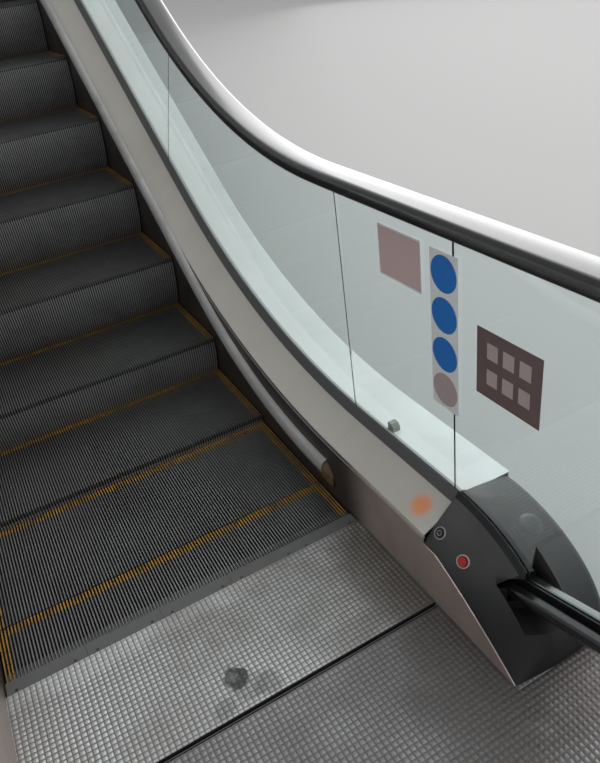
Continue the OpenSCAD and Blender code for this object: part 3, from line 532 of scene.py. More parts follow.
def grooved(made, between):
    """Lay the groove colour where the product of the waves of X and Y is low."""
    tree, noise = made.node_tree, stain_noise(made)
    x, y, behind = along(tree, 0), along(tree, 1), past_comb(tree)
    near_comb = ramp(tree, math_node(tree, "MULTIPLY_ADD", noise, 0.08, behind), 0.190, 0.150)
    worn = math_node(tree, "MULTIPLY", near_comb, ramp(tree, x, *WORN_X))
    studs = math_node(tree, "MULTIPLY", stud_wave(tree, x),
                      math_node(tree, "MAXIMUM", stud_wave(tree, y), worn))
    over(made, math_node(tree, "SUBTRACT", 1.0, studs), between)


floor_alloy = finish("floor_studs", (0.60, 0.605, 0.60), 0.40, 0.70, stain=0.55, stain_scale=3.5,
                     dirt=(0.15, 0.125, 0.10), rough_vary=0.25, grain=0.2, grain_scale=900)
grooved(floor_alloy, (0.215, 0.212, 0.205))
print("squares of the floor plates coloured")

# %% [markdown]
# Years of use lie over the squares: cloudy smears where something was spilt and dried pale in the
# middle, a duller second plate, and a black ragged seam between the plates. Toward the right a
# painted brown reflection of something dark lies over them in patches. Each is a distance to which
# noise is added before it becomes a factor.

# %% Wear of the floor plates and a painted reflection
# Each smear is (x, y, radius, strength) in the working frame; the first has a pale middle.
SMEARS = ((-0.011, -0.339, 0.036, 0.95), (0.052, -0.392, 0.036, 0.35),
          (-0.062, -0.398, 0.030, 0.35), (0.010, -0.372, 0.044, 0.25))


def smeared(made, smears):
    """Dark clouds: the distance from each place, pushed out by noise, against its radius."""
    tree = made.node_tree
    cloud = add_node(tree, "TexNoise", {"Vector": object_point(tree), "Scale": 26, "Detail": 4})
    for x, y, r, depth in smears:
        away = math_node(tree, "MULTIPLY_ADD", cloud["Fac"], r * 0.9,
                         from_point(tree, HOME + [x, y, FLOOR_Z]))
        over(made, ramp(tree, away, r * 1.45, r * 1.15, to=depth), (0.085, 0.090, 0.088))
    x, y, r, _ = smears[0]
    middle = from_point(tree, HOME + [x - 0.006, y + 0.006, FLOOR_Z])
    over(made, ramp(tree, middle, r * 0.5, r * 0.2, to=0.6), (0.26, 0.265, 0.26))


def soiled_with_painted_reflection(made):
    """Painted brown reflection to the right, a duller second plate, the ragged seam between both.
    """
    tree, noise = made.node_tree, stain_noise(made)
    behind = past_comb(tree)
    # Painted reflection: brown patches toward the right stand in for something dark mirrored in the
    # plates.
    brown = math_node(tree, "MULTIPLY", ramp(tree, along(tree, 0), 0.16, 0.50),
                      ramp(tree, noise, 0.25, 0.55))
    over(made, math_node(tree, "MULTIPLY", brown, 0.85), (0.150, 0.132, 0.115))
    over(made, ramp(tree, behind, PLATE_SEAM + 0.002, PLATE_SEAM + 0.008, to=0.55),
         (0.125, 0.115, 0.120))
    off = math_node(tree, "ABSOLUTE", math_node(tree, "SUBTRACT", behind, PLATE_SEAM))
    ragged = math_node(tree, "MULTIPLY_ADD", noise, 0.006, off)
    over(made, ramp(tree, ragged, 0.0125, 0.0095), (0.012, 0.010, 0.009))


smeared(floor_alloy, SMEARS)
soiled_with_painted_reflection(floor_alloy)
dress(floor_alloy, "comb_carrier_lower", "comb_carrier_upper", "floor_covers_lower",
      "floor_covers_upper")
print("floor plates dressed")

# %% [markdown]
# The squares themselves are low pyramids with their tops cut off, a millimetre high, too many to be
# worth solids. All of a landing's squares are one array: five faces each, on the same pitch as the
# colour. Where shoes have worn the plate they are lower, and so long that they run into ribs.

# %% Raised squares
def step_up(value, low, high):
    """Smooth step: 3 t^2 - 2 t^3 of the clipped share between low and high."""
    t = np.clip((value - low) / (high - low), 0, 1)
    return t * t * (3 - 2 * t)


def centres(low, high, home):
    """Middles of the pitches that lie wholly between low and high, in the working frame."""
    k = np.arange(math.ceil((low + home) / STUD_PITCH - 0.5),
                  math.floor((high + home) / STUD_PITCH - 0.5) + 1)
    return (k + 0.5) * STUD_PITCH - home


def raised_squares(half_x, y0, y1, height=0.0010, top=0.0046, foot=0.0057):
    """Frustums on the pitch's middles; height and length blend by how worn the place is."""
    x, y = [g.ravel() for g in np.meshgrid(centres(foot - half_x, half_x - foot, HOME[0]),
                                           centres(y0 + foot, y1 - foot, HOME[1]))]
    worn = step_up(y, *WORN_Y) * step_up(x, *WORN_X)
    longer = (STUD_PITCH / 2 - foot) * worn
    ring = np.array([[-1, -1], [1, -1], [1, 1], [-1, 1]])
    levels = []
    lower_z, upper_z = np.full(len(x), -0.0003), height * (1 - 0.62 * worn)
    for size, stretch, z in ((foot, 1, lower_z), (top, 1.35, upper_z)):
        px = x[:, None] + ring[:, 0] * size
        py = y[:, None] + ring[:, 1] * (size + longer[:, None] * stretch)
        levels.append(points_at(px, py, FLOOR_Z + z[:, None]))
    sides = np.array([[4, 5, 6, 7], [0, 1, 5, 4], [1, 2, 6, 5], [2, 3, 7, 6], [3, 0, 4, 7]])
    faces = sides[None] + 8 * np.arange(len(x))[:, None, None]
    return np.stack(levels, 1).reshape(-1, 3), faces.reshape(-1, 4)


squares, square_faces = join([
    raised_squares(0.538, 0.005 - PLATE_SEAM, -0.0775),
    raised_squares(0.757, -PLATE_SEAM - 0.9985, -PLATE_SEAM - 0.005)])
piece("floor_squares_lower", *placed(squares, square_faces), floor_alloy, "floor_alloy",
      smooth=False)

# %% [markdown]
# The upper landing mirrors the lower one about the middle of the run, which is no whole number of
# pitches away. Its squares move by what is left over, so that they still meet the colour.

# %% Raised squares of the upper landing
left_over = (RUN_Y + 2 * HOME[1]) % STUD_PITCH
to_pitch = left_over if left_over < STUD_PITCH / 2 else left_over - STUD_PITCH
piece("floor_squares_upper", *placed(squares + [0, to_pitch, 0], square_faces, upper=True),
      floor_alloy, "floor_alloy", smooth=False)

# %% [markdown]
# ## Glass
# Toughened clear glass, 10 mm thick. It is a dielectric with a faint green absorption, which shows
# at the edges, so the tint goes on the shader as a pale transmission colour.

# %% Glass finish
GLASS_TINT = (0.872, 0.965, 0.962)
clear_glass = bpy.data.materials.new("clear_glass")
clear_glass.use_nodes = True
fill(clear_glass.node_tree.nodes["Principled BSDF"],
     {"Base Color": (*GLASS_TINT, 1), "Transmission Weight": 1.0, "Roughness": 0.0, "IOR": 1.45})
clear_glass.diffuse_color = (*GLASS_TINT, 0.3)
dress(clear_glass, "glass_left", "glass_right")
print("glass dressed")

# %% [markdown]
# ## Riser ribs
# The risers are curved plates about the far edge of the tread, with a rib for every cleat. The CAD
# model keeps the plate and leaves 4 mm for the ribs. Here a square wave across the width is carried
# along the arc: one parameter is the point of the wave, the other the angle down the riser. The
# ribs end at 39 degrees, or sooner where the riser would pass the machine's base.

# %% Riser ribs
CLEAT_MIDDLES = (np.arange(CLEATS) + 0.5) * CLEAT_PITCH - STEP_W / 2
RIB_TOP, RIB_DEPTH, RIB_REACH = 0.0125, 0.0043, math.radians(39)
RIB_HALF, RIB_FLANK = CLEAT_PITCH * 0.27, 0.0002


def rib_band(nose, slices=8):
    """Radius pitch - depth or pitch by the wave, turned by an angle about the tread's far edge."""
    foot = RIB_HALF + RIB_FLANK
    x = (CLEAT_MIDDLES[:, None] + np.array([-foot, -RIB_HALF, RIB_HALF, foot])).ravel()
    r = np.tile(STEP_PITCH - RIB_DEPTH * np.array([1, 0, 0, 1]), CLEATS)
    base = math.asin(min(1, (nose[2] + HOME[2] - 0.001) / STEP_PITCH))
    a = np.linspace(math.asin(RIB_TOP / STEP_PITCH), min(RIB_REACH, base), slices)
    y = STEP_PITCH - r[None, :] * np.cos(a)[:, None]
    z = -r[None, :] * np.sin(a)[:, None]
    points, faces = sheet(x, y, z)
    return points + nose + HOME, faces


riser_black = finish("riser_black", (0.340, 0.344, 0.350), 0.38, 0.35, stain=0.4, stain_scale=6,
                     dirt=(0.10, 0.095, 0.09), rough_vary=0.2)
points, faces = join([rib_band(nose) for nose in NOSES[1:]])
piece("riser_ribs", points, faces[:, ::-1], riser_black, "step_alloy", angle=30)

# %% [markdown]
# ## Yellow tread edges
# The rear edge of each tread and the outer cleats are painted yellow so that riders see where one
# step ends. The paint lies on the cleat tops only, so it is one narrow rectangle per cleat, a
# fifth of a millimetre above it, and longer ones on the outer cleats.

# %% Yellow marks
def flat_strips(x0, x1, y0, y1, z):
    """One upward quad per entry, with corners (x0, y0), (x1, y0), (x1, y1), (x0, y1) at z."""
    points = points_at(np.stack([x0, x1, x1, x0], 1), np.stack([y0, y0, y1, y1], 1), z)
    return points.reshape(-1, 3), np.arange(4 * len(x0)).reshape(-1, 4)


MARKED_CLEATS, MARK_START, MARK_L, MARK_END = 3, 0.002, 0.034, 0.0045
count_in = np.minimum(np.arange(CLEATS), CLEATS - 1 - np.arange(CLEATS))
half = CLEAT_PITCH * CLEAT_SHARE / 2
mark_points, mark_faces = flat_strips(
    CLEAT_MIDDLES - half, CLEAT_MIDDLES + half,
    np.where(count_in < MARKED_CLEATS, MARK_START, STEP_PITCH - MARK_L),
    np.full(CLEATS, STEP_PITCH - MARK_END), 0.0002)
yellow_paint = finish("yellow_paint", (0.38, 0.205, 0.030), 0.55, stain=0.95, stain_scale=22,
                      dirt=(0.10, 0.085, 0.06))
specks(yellow_paint, (0.05, 0.045, 0.04), 90, 0.5, 0.35)
points, faces = join([(mark_points + n + HOME, mark_faces) for n in NOSES])
piece("tread_marks", points, faces, yellow_paint, "step_alloy", smooth=False)


# %% [markdown]
# ## Handrails
# A handrail is a rubber belt with a C section that is carried along a planar path: over the glass,
# round each newel, into the base and back under the decks. The path is a chain of straights and
# arcs, sampled as arrays; the section's rounded outline is placed square to it at every sample.

# %% Path of the handrail
def planar_path(parts, start, heading, per_metre=30, per_radian=28):
    """Y-Z points and headings along straights (length,) and arcs (radius, angle, + is left)."""
    place = np.array(start, float)
    rows, turns = [], []
    for p in parts:
        if len(p) == 1:
            s = np.linspace(0, p[0], max(2, int(p[0] * per_metre)), endpoint=False)
            rows.append(place + s[:, None] * [math.cos(heading), math.sin(heading)])
            turns.append(np.full(len(s), heading))
            place = place + p[0] * np.array([math.cos(heading), math.sin(heading)])
        else:
            side = math.copysign(1, p[1])
            centre = place + side * p[0] * np.array([-math.sin(heading), math.cos(heading)])
            a = np.linspace(0, p[1], max(8, int(abs(p[1]) * per_radian)), endpoint=False)
            rows.append(centre + side * p[0] * np.column_stack([np.sin(heading + a),
                                                                -np.cos(heading + a)]))
            turns.append(heading + a)
            heading += p[1]
            place = centre + side * p[0] * np.array([math.sin(heading), -math.cos(heading)])
    return np.concatenate(rows), np.concatenate(turns)


def bent_run(drop, radius, y0, y1):
    """Straights and arcs of a line that follows the machine from y0 to y1."""
    low = CORNER_Y + drop / math.tan(INCLINE)
    high = RUN_Y - CORNER_Y + drop / math.tan(INCLINE)
    t = radius * math.tan(INCLINE / 2)
    return [(low - t - y0,), (radius, INCLINE), ((high - low) / math.cos(INCLINE) - 2 * t,),
            (radius, -INCLINE), (y1 - high - t,)]


NEWEL_R, NEWEL_Y = 0.342, 0.800
RETURN_Z, RETURN_R, DIVE = 0.100, 0.600, math.radians(17)
foot_y = NEWEL_Y + NEWEL_R * math.sin(DIVE)
foot_z = RAIL_Z - NEWEL_R * (1 + math.cos(DIVE))
fillet = RETURN_R * math.tan(DIVE / 2)
into_base = (foot_z - RETURN_Z) / math.sin(DIVE) - fillet
return_y = foot_y - (foot_z - RETURN_Z) / math.tan(DIVE) - fillet
newel, bend = (NEWEL_R, -(math.pi - DIVE)), (RETURN_R, -DIVE)
over_glass = bent_run(RAIL_DROP, RAIL_R, -NEWEL_Y, RUN_Y + NEWEL_Y)
under_decks = [p if len(p) == 1 else (p[0], -p[1])
               for p in bent_run(DECK_DROP, DECK_R, -return_y, RUN_Y + return_y)[::-1]]
loop = over_glass + [newel, (into_base,), bend] + under_decks + [bend, (into_base,), newel]
rail_path, rail_heading = planar_path(loop, (-NEWEL_Y, RAIL_Z), 0.0)
print("handrail samples:", len(rail_path))

# %% [markdown]
# The section is drawn once: a soft crown, rounded shoulders, and lips that turn in under the edge.
# Each corner is an arc of a few points, so the outline is closed and has no sharp step.

# %% Section of the handrail
def corner(cx, cn, r, a0, a1, n):
    """Points on an arc from a0 to a1 degrees."""
    a = np.radians(np.linspace(a0, a1, n))
    return np.column_stack([cx + r * np.cos(a), cn + r * np.sin(a)])


RAIL_HALF, RAIL_T, BULGE = 0.040, 0.037, 0.0022
SHOULDER_R, LIP_R = 0.016, 0.007
# The hollow inside, and the opening between the lips
HOLLOW_X, HOLLOW_TOP, LIP_X, LIP_T = 0.031, 0.028, 0.018, 0.009


def rail_outline():
    """Closed outline, clockwise from the left lip, crown bulging by a cosine of x."""
    flat, shoulder = RAIL_HALF - SHOULDER_R, RAIL_T - BULGE - SHOULDER_R
    x = np.linspace(-flat, flat, 9)
    crown = np.column_stack([x, RAIL_T - BULGE + BULGE * np.cos(x / flat * math.pi / 2)])
    return np.concatenate([
        [[-LIP_X, 0.0]], corner(-RAIL_HALF + LIP_R, LIP_R, LIP_R, 270, 180, 6),
        corner(-flat, shoulder, SHOULDER_R, 180, 96, 9), crown[1:-1],
        corner(flat, shoulder, SHOULDER_R, 84, 0, 9),
        corner(RAIL_HALF - LIP_R, LIP_R, LIP_R, 0, -90, 6), [[LIP_X, 0.0]],
        [[LIP_X, LIP_T], [HOLLOW_X, LIP_T], [HOLLOW_X, HOLLOW_TOP], [-HOLLOW_X, HOLLOW_TOP],
         [-HOLLOW_X, LIP_T], [-LIP_X, LIP_T]]])


def carried(path, heading, outline, closed_path=True):
    """Outline points (x, n) placed at each path point, n along the left normal of the heading."""
    x, n = outline.T
    y = path[:, :1] - n * np.sin(heading)[:, None]
    return sheet(x, y, path[:, 1:] + n * np.cos(heading)[:, None], closed_path, True)


rail_rubber = finish("rail_rubber", (0.010, 0.010, 0.011), 0.20, stain=0.15, stain_scale=8,
                     dirt=(0.03, 0.03, 0.03), rough_vary=0.08, coat=1.0, ior=1.6)
rail_points, rail_faces = carried(rail_path, rail_heading, rail_outline())
for side, name in ((1, "handrail_right"), (-1, "handrail_left")):
    belt = placed(rail_points + [MID_X, 0, 0], rail_faces[:, ::-1], side=side)
    made = piece(name + "_belt", *belt, rail_rubber, "handrail", angle=50)
    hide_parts(name)

# %% [markdown]
# ## Newel bases
# Each newel base is a moulded cover that rolls down from the decks to the floor. Across its width
# the outline goes over from the skirt's edge to a quarter ellipse, the crown, and drops again
# outside. Every point is a blend of the two curves at the same share of the depth, so the surface
# is a smooth grid in X and in an angle from 0 at the decks to 90 degrees at the toe.

# %% Surface of a newel base
# Distances from the comb tips, against Y, to the decks' end and to the toe, and heights of the
# crown and of the edge beside the skirt
DECK_END, CAP_END, CAP_H, CAP_EDGE = 0.385, 0.715, 0.285, 0.180
# The edge stops short of the toe, stays level for a while, and bulges on its way down
EDGE_BACK, EDGE_LEVEL, EDGE_BULGE = 0.010, 0.045, 0.044
CROWN_X, SHOULDER_X = 0.610, [0.680, 0.761, SIDE_X]


def cap_surface(x, a):
    """Y and Z at width x and angle a: (1 - f) edge + f crown, f = (share of the width)^0.85."""
    x, a = np.broadcast_arrays(x, a)
    edge_l = CAP_END - EDGE_BACK - DECK_END
    edge_y = DECK_END + edge_l * np.sin(a)
    t = np.clip((edge_y - DECK_END - EDGE_LEVEL) / (edge_l - EDGE_LEVEL), 0, None)
    edge_z = CAP_EDGE + (FLOOR_Z - CAP_EDGE) * t + EDGE_BULGE * t * (1 - t)
    drop = np.interp(x, [CROWN_X, *SHOULDER_X], [0, 0.008, 0.020, 0.034])
    back = np.interp(x, SHOULDER_X, [0, 0.002, 0.010])
    crown_y = DECK_END + (CAP_END - back - DECK_END) * np.sin(a)
    crown_z = FLOOR_Z + (CAP_H - drop - FLOOR_Z) * np.cos(a)
    f = np.clip((x - SKIRT_X) / (CROWN_X - SKIRT_X), 0, 1) ** 0.85
    return -((1 - f) * edge_y + f * crown_y), (1 - f) * edge_z + f * crown_z


def cap_grid(x, a0, a1, rows):
    """Grid over widths x and angles from a0 to a1, each one number or an array as long as x."""
    a = a0 + (a1 - a0) * np.linspace(0, 1, rows)[:, None]
    return sheet(x, *cap_surface(x, a))


print("newel base is", round(CAP_END - DECK_END, 3), "m long")

# %% [markdown]
# The handrail dives into a port in the surface. Its rear wall leans forward to the glass, its floor
# is level, and its cheeks join both to the surface. Where rear wall and floor meet the surface is
# found by a fine scan over the angle. The glass stands in a slot of its own.

# %% Port of the handrail
# The rail goes in at 0.6 of the way from the decks to the toe. The rear wall stands a little before
# that place beside the glass, and a little behind it at the cheeks.
INLET_Y = DECK_END + 0.6 * (CAP_END - DECK_END)
BACK_MIDDLE, BACK_CHEEK = INLET_Y + 0.029, INLET_Y - 0.008
PORT_Z, PORT_HALF, CHANNEL_Z = 0.105, 0.060, 0.196
PORT = (MID_X - PORT_HALF, MID_X + PORT_HALF)
SLOT = (GLASS_X - 0.003, GLASS_X + GLASS_T + 0.003)


def port_back(x):
    """Y of the port's rear wall at width x."""
    return -np.interp(np.abs(x - MID_X), [GLASS_T / 2, PORT_HALF], [BACK_MIDDLE, BACK_CHEEK])


def port_angles(x):
    """Angles at which the surface meets the port's rear wall and its floor."""
    a = np.linspace(0, math.pi / 2, 1500)[:, None]
    y, z = cap_surface(np.atleast_1d(x)[None, :], a)
    return a[(y > port_back(x)).sum(0) - 1, 0], a[(z > PORT_Z).sum(0) - 1, 0]


top, low = port_angles(np.array([PORT[0], GLASS_X, PORT[1]]))
print("port from", np.degrees(top).round(1), "to", np.degrees(low).round(1), "degrees")

# %% [markdown]
# Every wall of the cover is a ribbon of quads between two rows of points: one on the surface, and
# one straight behind or below it.

# %% Walls of a newel base
def ribbon(x, y, z, other_y, other_z):
    """Quads from the row of points (x, y, z) to the row (x, other_y, other_z)."""
    both = np.stack([points_at(x, y, z), points_at(x, other_y, other_z)], 1)
    return both.reshape(-1, 3), grid_faces(len(both), 2)


def side_wall(x, a1, rows, z):
    """In the plane x, from the surface between angle 0 and a1 down to height z."""
    y, top_z = cap_surface(x, np.linspace(0, a1, rows))
    return ribbon(x, y, top_z, y, z)


def deck_wall(x):
    """Beside the decks, from the surface down to the floor."""
    y, z = cap_surface(x, 0.0)
    return ribbon(x, y, z, y, FLOOR_Z)


def port_cheek(x, rows=24):
    """In the plane x, from the surface back to the port's rear wall."""
    (a0,), (a1,) = port_angles(x)
    y, z = cap_surface(x, np.linspace(a0, a1, rows))
    return ribbon(x, y, z, np.maximum(port_back(x), y), z)


def port_floor(x):
    """From the surface back to the port's rear wall, level."""
    y, _ = cap_surface(x, port_angles(x)[1])
    return ribbon(x, y, PORT_Z, port_back(x), PORT_Z)


def port_wall(x):
    """The rear wall itself, from the surface down to the belt's channel."""
    y, z = cap_surface(x, port_angles(x)[0])
    return ribbon(x, y, z, port_back(x), CHANNEL_Z)


print("walls ready")

# %% [markdown]
# The port splits the surface: full strips on both sides, and between them parts over the port and
# one under it. The lower right base also has two round holes, where the controls' rings sit.

# %% Newel bases
def cap_parts(rows=120):
    """Surface grids first, then walls, all facing outwards."""
    toe = math.pi / 2
    inner, outside = np.linspace(SKIRT_X, PORT[0], 23), np.linspace(PORT[1], SIDE_X, 24)
    beside = [np.linspace(PORT[0], SLOT[0], 20), np.linspace(SLOT[1], PORT[1], 20)]
    under = np.concatenate([beside[0][:-1], np.linspace(*SLOT, 6), beside[1][1:]])
    made = [(cap_grid(x, 0, toe, rows), True) for x in (inner, outside)]
    for x in beside:
        made += [(cap_grid(x, 0, port_angles(x)[0], rows * 2 // 3), True), (port_wall(x), False)]
    made += [(cap_grid(under, port_angles(under)[1], toe, rows // 4), True),
             (port_floor(under), True), (port_cheek(PORT[0]), True), (port_cheek(PORT[1]), False),
             (side_wall(SIDE_X, toe, rows, FLOOR_Z), True),
             (side_wall(SKIRT_X, toe, rows, FLOOR_Z), False)]
    made += [(side_wall(x, port_angles(x)[0][0], rows, PORT_Z), x == SLOT[0]) for x in SLOT]
    made += [(deck_wall(np.concatenate(x)), True) for x in ((inner, beside[0]),
                                                            (beside[1], outside))]
    return [(points, faces[:, ::-1] if flip else faces) for (points, faces), flip in made]


def cap_mesh(holes=(), reach=0.03):
    """All the parts as one; faces wholly inside a control's ring are left out."""
    points, faces = join(cap_parts())
    for place, axis, radius in holes:
        off = points - place
        depth = off @ axis
        apart = np.linalg.norm(off - depth[:, None] * axis, axis=1)
        inside = (apart < radius) & (np.abs(depth) < reach)
        faces = faces[~inside[faces].all(1)]
    return points, faces


BUTTON_HOLE_R, KEY_HOLE_R = 0.0160, 0.0150
plain = cap_mesh()
bored = cap_mesh([(button - HOME, button_axis, BUTTON_HOLE_R), (key - HOME, key_axis, KEY_HOLE_R)])
for name, part in (("newel_base_lower_right", [placed(*bored)]),
                   ("newel_base_lower_left", [placed(*plain, side=-1)]),
                   ("newel_bases_upper", [placed(*plain, upper=True),
                                          placed(*plain, side=-1, upper=True)])):
    made = piece(name + "_cover", *join(part), moulding, "moulding", angle=40)
    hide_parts(name)

# %% [markdown]
# ## Lips beside the glass on the newel bases
# Where the glass passes through a newel base, a rubber lip closes the slot on each side and runs
# down the crown to the port. It is the crown's own surface, lifted by a rounded profile.

# %% Lips on the crown
LIP_H, LIP_LIFT, LIP_FOOT, LIP_GAP = 0.005, 0.0003, 0.012, 0.0002


def crown_lip(x0, x1, rows=60):
    """Grid from x0 at the cover to x1 at the glass, LIP_H sin(share of a right angle)^0.7 high."""
    share = np.linspace(0, 1, 8)
    x = x0 + (x1 - x0) * share
    y, z = cap_surface(x, port_angles(x1)[0][0] * np.linspace(0, 1, rows)[:, None])
    z = z + LIP_H * np.sin(share * math.pi / 2) ** 0.7 + LIP_LIFT
    foot_z = z[:, -1:] - LIP_FOOT
    return sheet(np.append(x, x[-1]), np.append(y, y[:, -1:], 1), np.append(z, foot_z, 1))


four_places = [{"side": side, "upper": upper} for side in (1, -1) for upper in (False, True)]
inner, inner_faces = crown_lip(0.600, GLASS_X - LIP_GAP)
both = join([(inner, inner_faces[:, ::-1]), crown_lip(0.640, GLASS_X + GLASS_T + LIP_GAP)])
piece("crown_lips", *join([placed(*both, **where) for where in four_places]), lip_rubber,
      "gasket", angle=60)

# %% [markdown]
# ## Skirt deflectors
# Along both skirts runs a holder with a bright aluminium nose that keeps shoes away from the gap.
# The CAD model has its outline with flat faces; here the same line carries a rounded section. The
# nose is a separate strip, and a tapered end piece closes each end.

# %% Deflectors
SKIRT_FACE = SKIRT_X - 0.003
DEFLECTOR_Y, DEFLECTOR_Z, DEFLECTOR_DROP, DEFLECTOR_R = 0.084, 0.090, -0.040, 1.500
# Outlines (x from the skirt's face, height over the line), round the back of each section
HOLDER = np.array([[0, 0], [0, 0.042], [-0.006, 0.0413], [-0.011, 0.0388], [-0.0155, 0.0345],
                   [-0.019, 0.029], [-0.0215, 0.0225], [-0.023, 0.016], [-0.0235, 0.0145],
                   [-0.0235, 0.004], [-0.020, 0]])
NOSE = np.array([[-0.0225, 0.0030], [-0.0225, 0.0150], [-0.0236, 0.0146], [-0.0240, 0.0135],
                 [-0.0240, 0.0050], [-0.0236, 0.0036]])


def trim(label, parts, start, outline, look, slot, angle):
    """A strip on both skirts: the outline carried along a chain of straights and arcs."""
    line, headings = planar_path(parts + [(0.001,)], start, 0.0)
    points, faces = carried(line, headings, outline + [SKIRT_FACE, 0], closed_path=False)
    sides = [placed(points, faces[:, ::-1], side=side) for side in (1, -1)]
    return piece(label, *join(sides), look, slot, angle=angle)


deflector_run = bent_run(DEFLECTOR_DROP, DEFLECTOR_R, DEFLECTOR_Y, RUN_Y - DEFLECTOR_Y)
deflector_start = (DEFLECTOR_Y, DEFLECTOR_Z)
made = trim("deflector_holders", deflector_run, deflector_start, HOLDER, deflector_metal,
            "deflector_rail", 40)
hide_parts("deflectors")
trim("deflector_noses", deflector_run, deflector_start, NOSE, mill_metal, "deflector_rail", 40)

# %% [markdown]
# The end pieces are yellow-brown mouldings. Each closes the holder with a face that slants back to
# the skirt and down, so that a shoe slides off it. Its sections grow from the tip by the square
# root of the share of the length, and behind the holder's end the lower half runs out under it.

# %% End pieces of the deflectors
def end_piece(rings=12):
    """Each ring is an arc from its top down to its widest point, the ridge, then a flat face."""
    s = np.linspace(0.02, 1, rings)
    y = np.concatenate([0.052 + 0.0315 * s, [0.0842, 0.0905, 0.0965]])
    width = np.concatenate([0.0240 * np.sqrt(s), [0.0200, 0.0120, 0.0015]])
    top = np.concatenate([0.086 + 0.044 * s, [0.0898, 0.0880, 0.0800]])
    ridge = np.concatenate([0.050 + 0.037 * s, [0.0840, 0.0700, 0.0500]])
    bottom = np.concatenate([0.049 - 0.016 * s, [0.0325, 0.0320, 0.0315]])
    a = np.radians(np.linspace(0, 90, 9))
    x = SKIRT_FACE - np.concatenate([np.zeros((len(y), 1)), width[:, None] * np.sin(a)], 1)
    z = np.concatenate([bottom[:, None], ridge[:, None] + (top - ridge)[:, None] * np.cos(a)], 1)
    points, faces = sheet(x, y[:, None], z, close_cols=True)
    return points, faces[:, ::-1]


end_plastic = finish("end_plastic", (0.135, 0.082, 0.034), 0.36, stain=0.7, stain_scale=60,
                     dirt=(0.045, 0.026, 0.018), coat=0.2)
piece("deflector_ends", *join([placed(*end_piece(), **where) for where in four_places]),
      end_plastic, "deflector_rail", angle=50)

# %% [markdown]
# ## Bead under the edge of the inner deck
# Between deck and skirt a thin bright bead closes the joint. It is the deck's own line, lowered by
# a centimetre, with half a circle as its section.

# %% Bead
BEAD_R, BEAD_DROP, BEAD_END = 0.0016, 0.0100, DECK_END - 0.002
half_circle = np.radians(np.linspace(90, 270, 9))
bead = np.column_stack([BEAD_R * np.cos(half_circle), BEAD_R * np.sin(half_circle) - BEAD_DROP])
trim("deck_beads", bent_run(DECK_DROP, DECK_R, -BEAD_END, RUN_Y + BEAD_END), (-BEAD_END, DECK_Z),
     bead, mill_metal, "inner_deck", 60)

# %% [markdown]
# ## Screws of the combs
# A comb is made of five segments so that a broken one can be changed, and two screws hold each. A
# screw head is a disc whose height falls off towards the rim.

# %% Screws of the combs
COMB_BORDERS = np.array([-0.3012, -0.1004, 0.1004, 0.3012])
SCREW_IN, SCREW_END, SCREW_Y, SCREW_R, SCREW_H = 0.028, 0.474, -0.069, 0.0042, 0.0009


def low_dome(centres, r, h, n=16, rings=5):
    """Domes at points (x, y, z): at share s of the radius the height is h (1 - s^4)."""
    a = np.linspace(0, 2 * math.pi, n, endpoint=False)
    s = np.linspace(1, 0.02, rings)[:, None]
    form, faces = sheet(s * r * np.cos(a), s * r * np.sin(a), h * (1 - s ** 4), close_cols=True)
    return join([(form + c, faces) for c in centres])


screw_x = np.array([-SCREW_END, *(COMB_BORDERS[:, None] + [-SCREW_IN, SCREW_IN]).ravel(),
                    SCREW_END])
screws = low_dome(points_at(screw_x, SCREW_Y, FLOOR_Z - 0.0001), SCREW_R, SCREW_H)
dark_steel = finish("dark_steel", (0.06, 0.058, 0.055), 0.4, 0.8, stain=0.3, stain_scale=80)
piece("comb_screws", *join([placed(*screws, upper=upper) for upper in (False, True)]),
      dark_steel, "comb_alloy", angle=40)

# %% [markdown]
# ## Plugs of the newel bases
# On the outer half of each newel base a round plug of dark plastic fills the hole for a sensor. It
# is a disc wrapped on the crown by the surface's own two parameters.

# %% Plugs of the newel bases
PLUG_X, PLUG_ANGLE, PLUG_R, PLUG_H = 0.708, 0.455, 0.028, 0.0009


def crown_disc(x0, a0, r, h, n=40, rings=6):
    """A disc on the crown: x and angle step by the same length; lifted by h (1 - s^6)."""
    y, z = cap_surface(x0, np.array([a0 - 0.005, a0 + 0.005]))
    per_angle = math.hypot(y[1] - y[0], z[1] - z[0]) / 0.01
    p = np.linspace(0, 2 * math.pi, n, endpoint=False)
    s = np.concatenate([[1.0], np.linspace(1, 0.02, rings)])[:, None]
    x = x0 + s * r * np.cos(p)
    y, z = cap_surface(x, a0 + s * r * np.sin(p) / per_angle)
    lift = 0.0004 + h * (1 - s ** 6)
    lift[0] = -0.001
    return sheet(x, y - lift * math.sin(a0), z + lift * math.cos(a0), close_cols=True)


plug = crown_disc(PLUG_X, PLUG_ANGLE, PLUG_R, PLUG_H)
plug_smoke = finish("plug_smoke", (0.058, 0.060, 0.062), 0.26, stain=0.3, stain_scale=30,
                    coat=0.4)
piece("newel_plugs", *join([placed(*plug, **where) for where in four_places]), plug_smoke,
      "moulding", angle=60)

# %% [markdown]
# ## Cards on the glass
# Cards are stuck to the inner face of the right-hand glass. They are blank, in their places and
# colours: a pink one in a sleeve, a column of four discs, and a brown placard with pale squares. A
# film is so thin that a single quad or disc, just clear of the glass, is enough.

# %% Shapes of the cards
FILM, PRINT = 0.0006, 0.0011


def card(y0, y1, z0, z1, lift=FILM):
    """A rectangle on the inner face of the right glass, facing the riders."""
    x = GLASS_X - lift
    points = np.array([[x, y0, z0], [x, y1, z0], [x, y1, z1], [x, y0, z1]])
    return points, np.array([[3, 2, 1, 0]])


def disc(y, z, r, lift=PRINT, n=48):
    """Quads from the rim to a tiny ring round the centre."""
    a = np.linspace(0, 2 * math.pi, n, endpoint=False)
    k = r * np.array([[1.0], [0.001]])
    return sheet(GLASS_X - lift, y + k * np.cos(a), z + k * np.sin(a), close_cols=True)


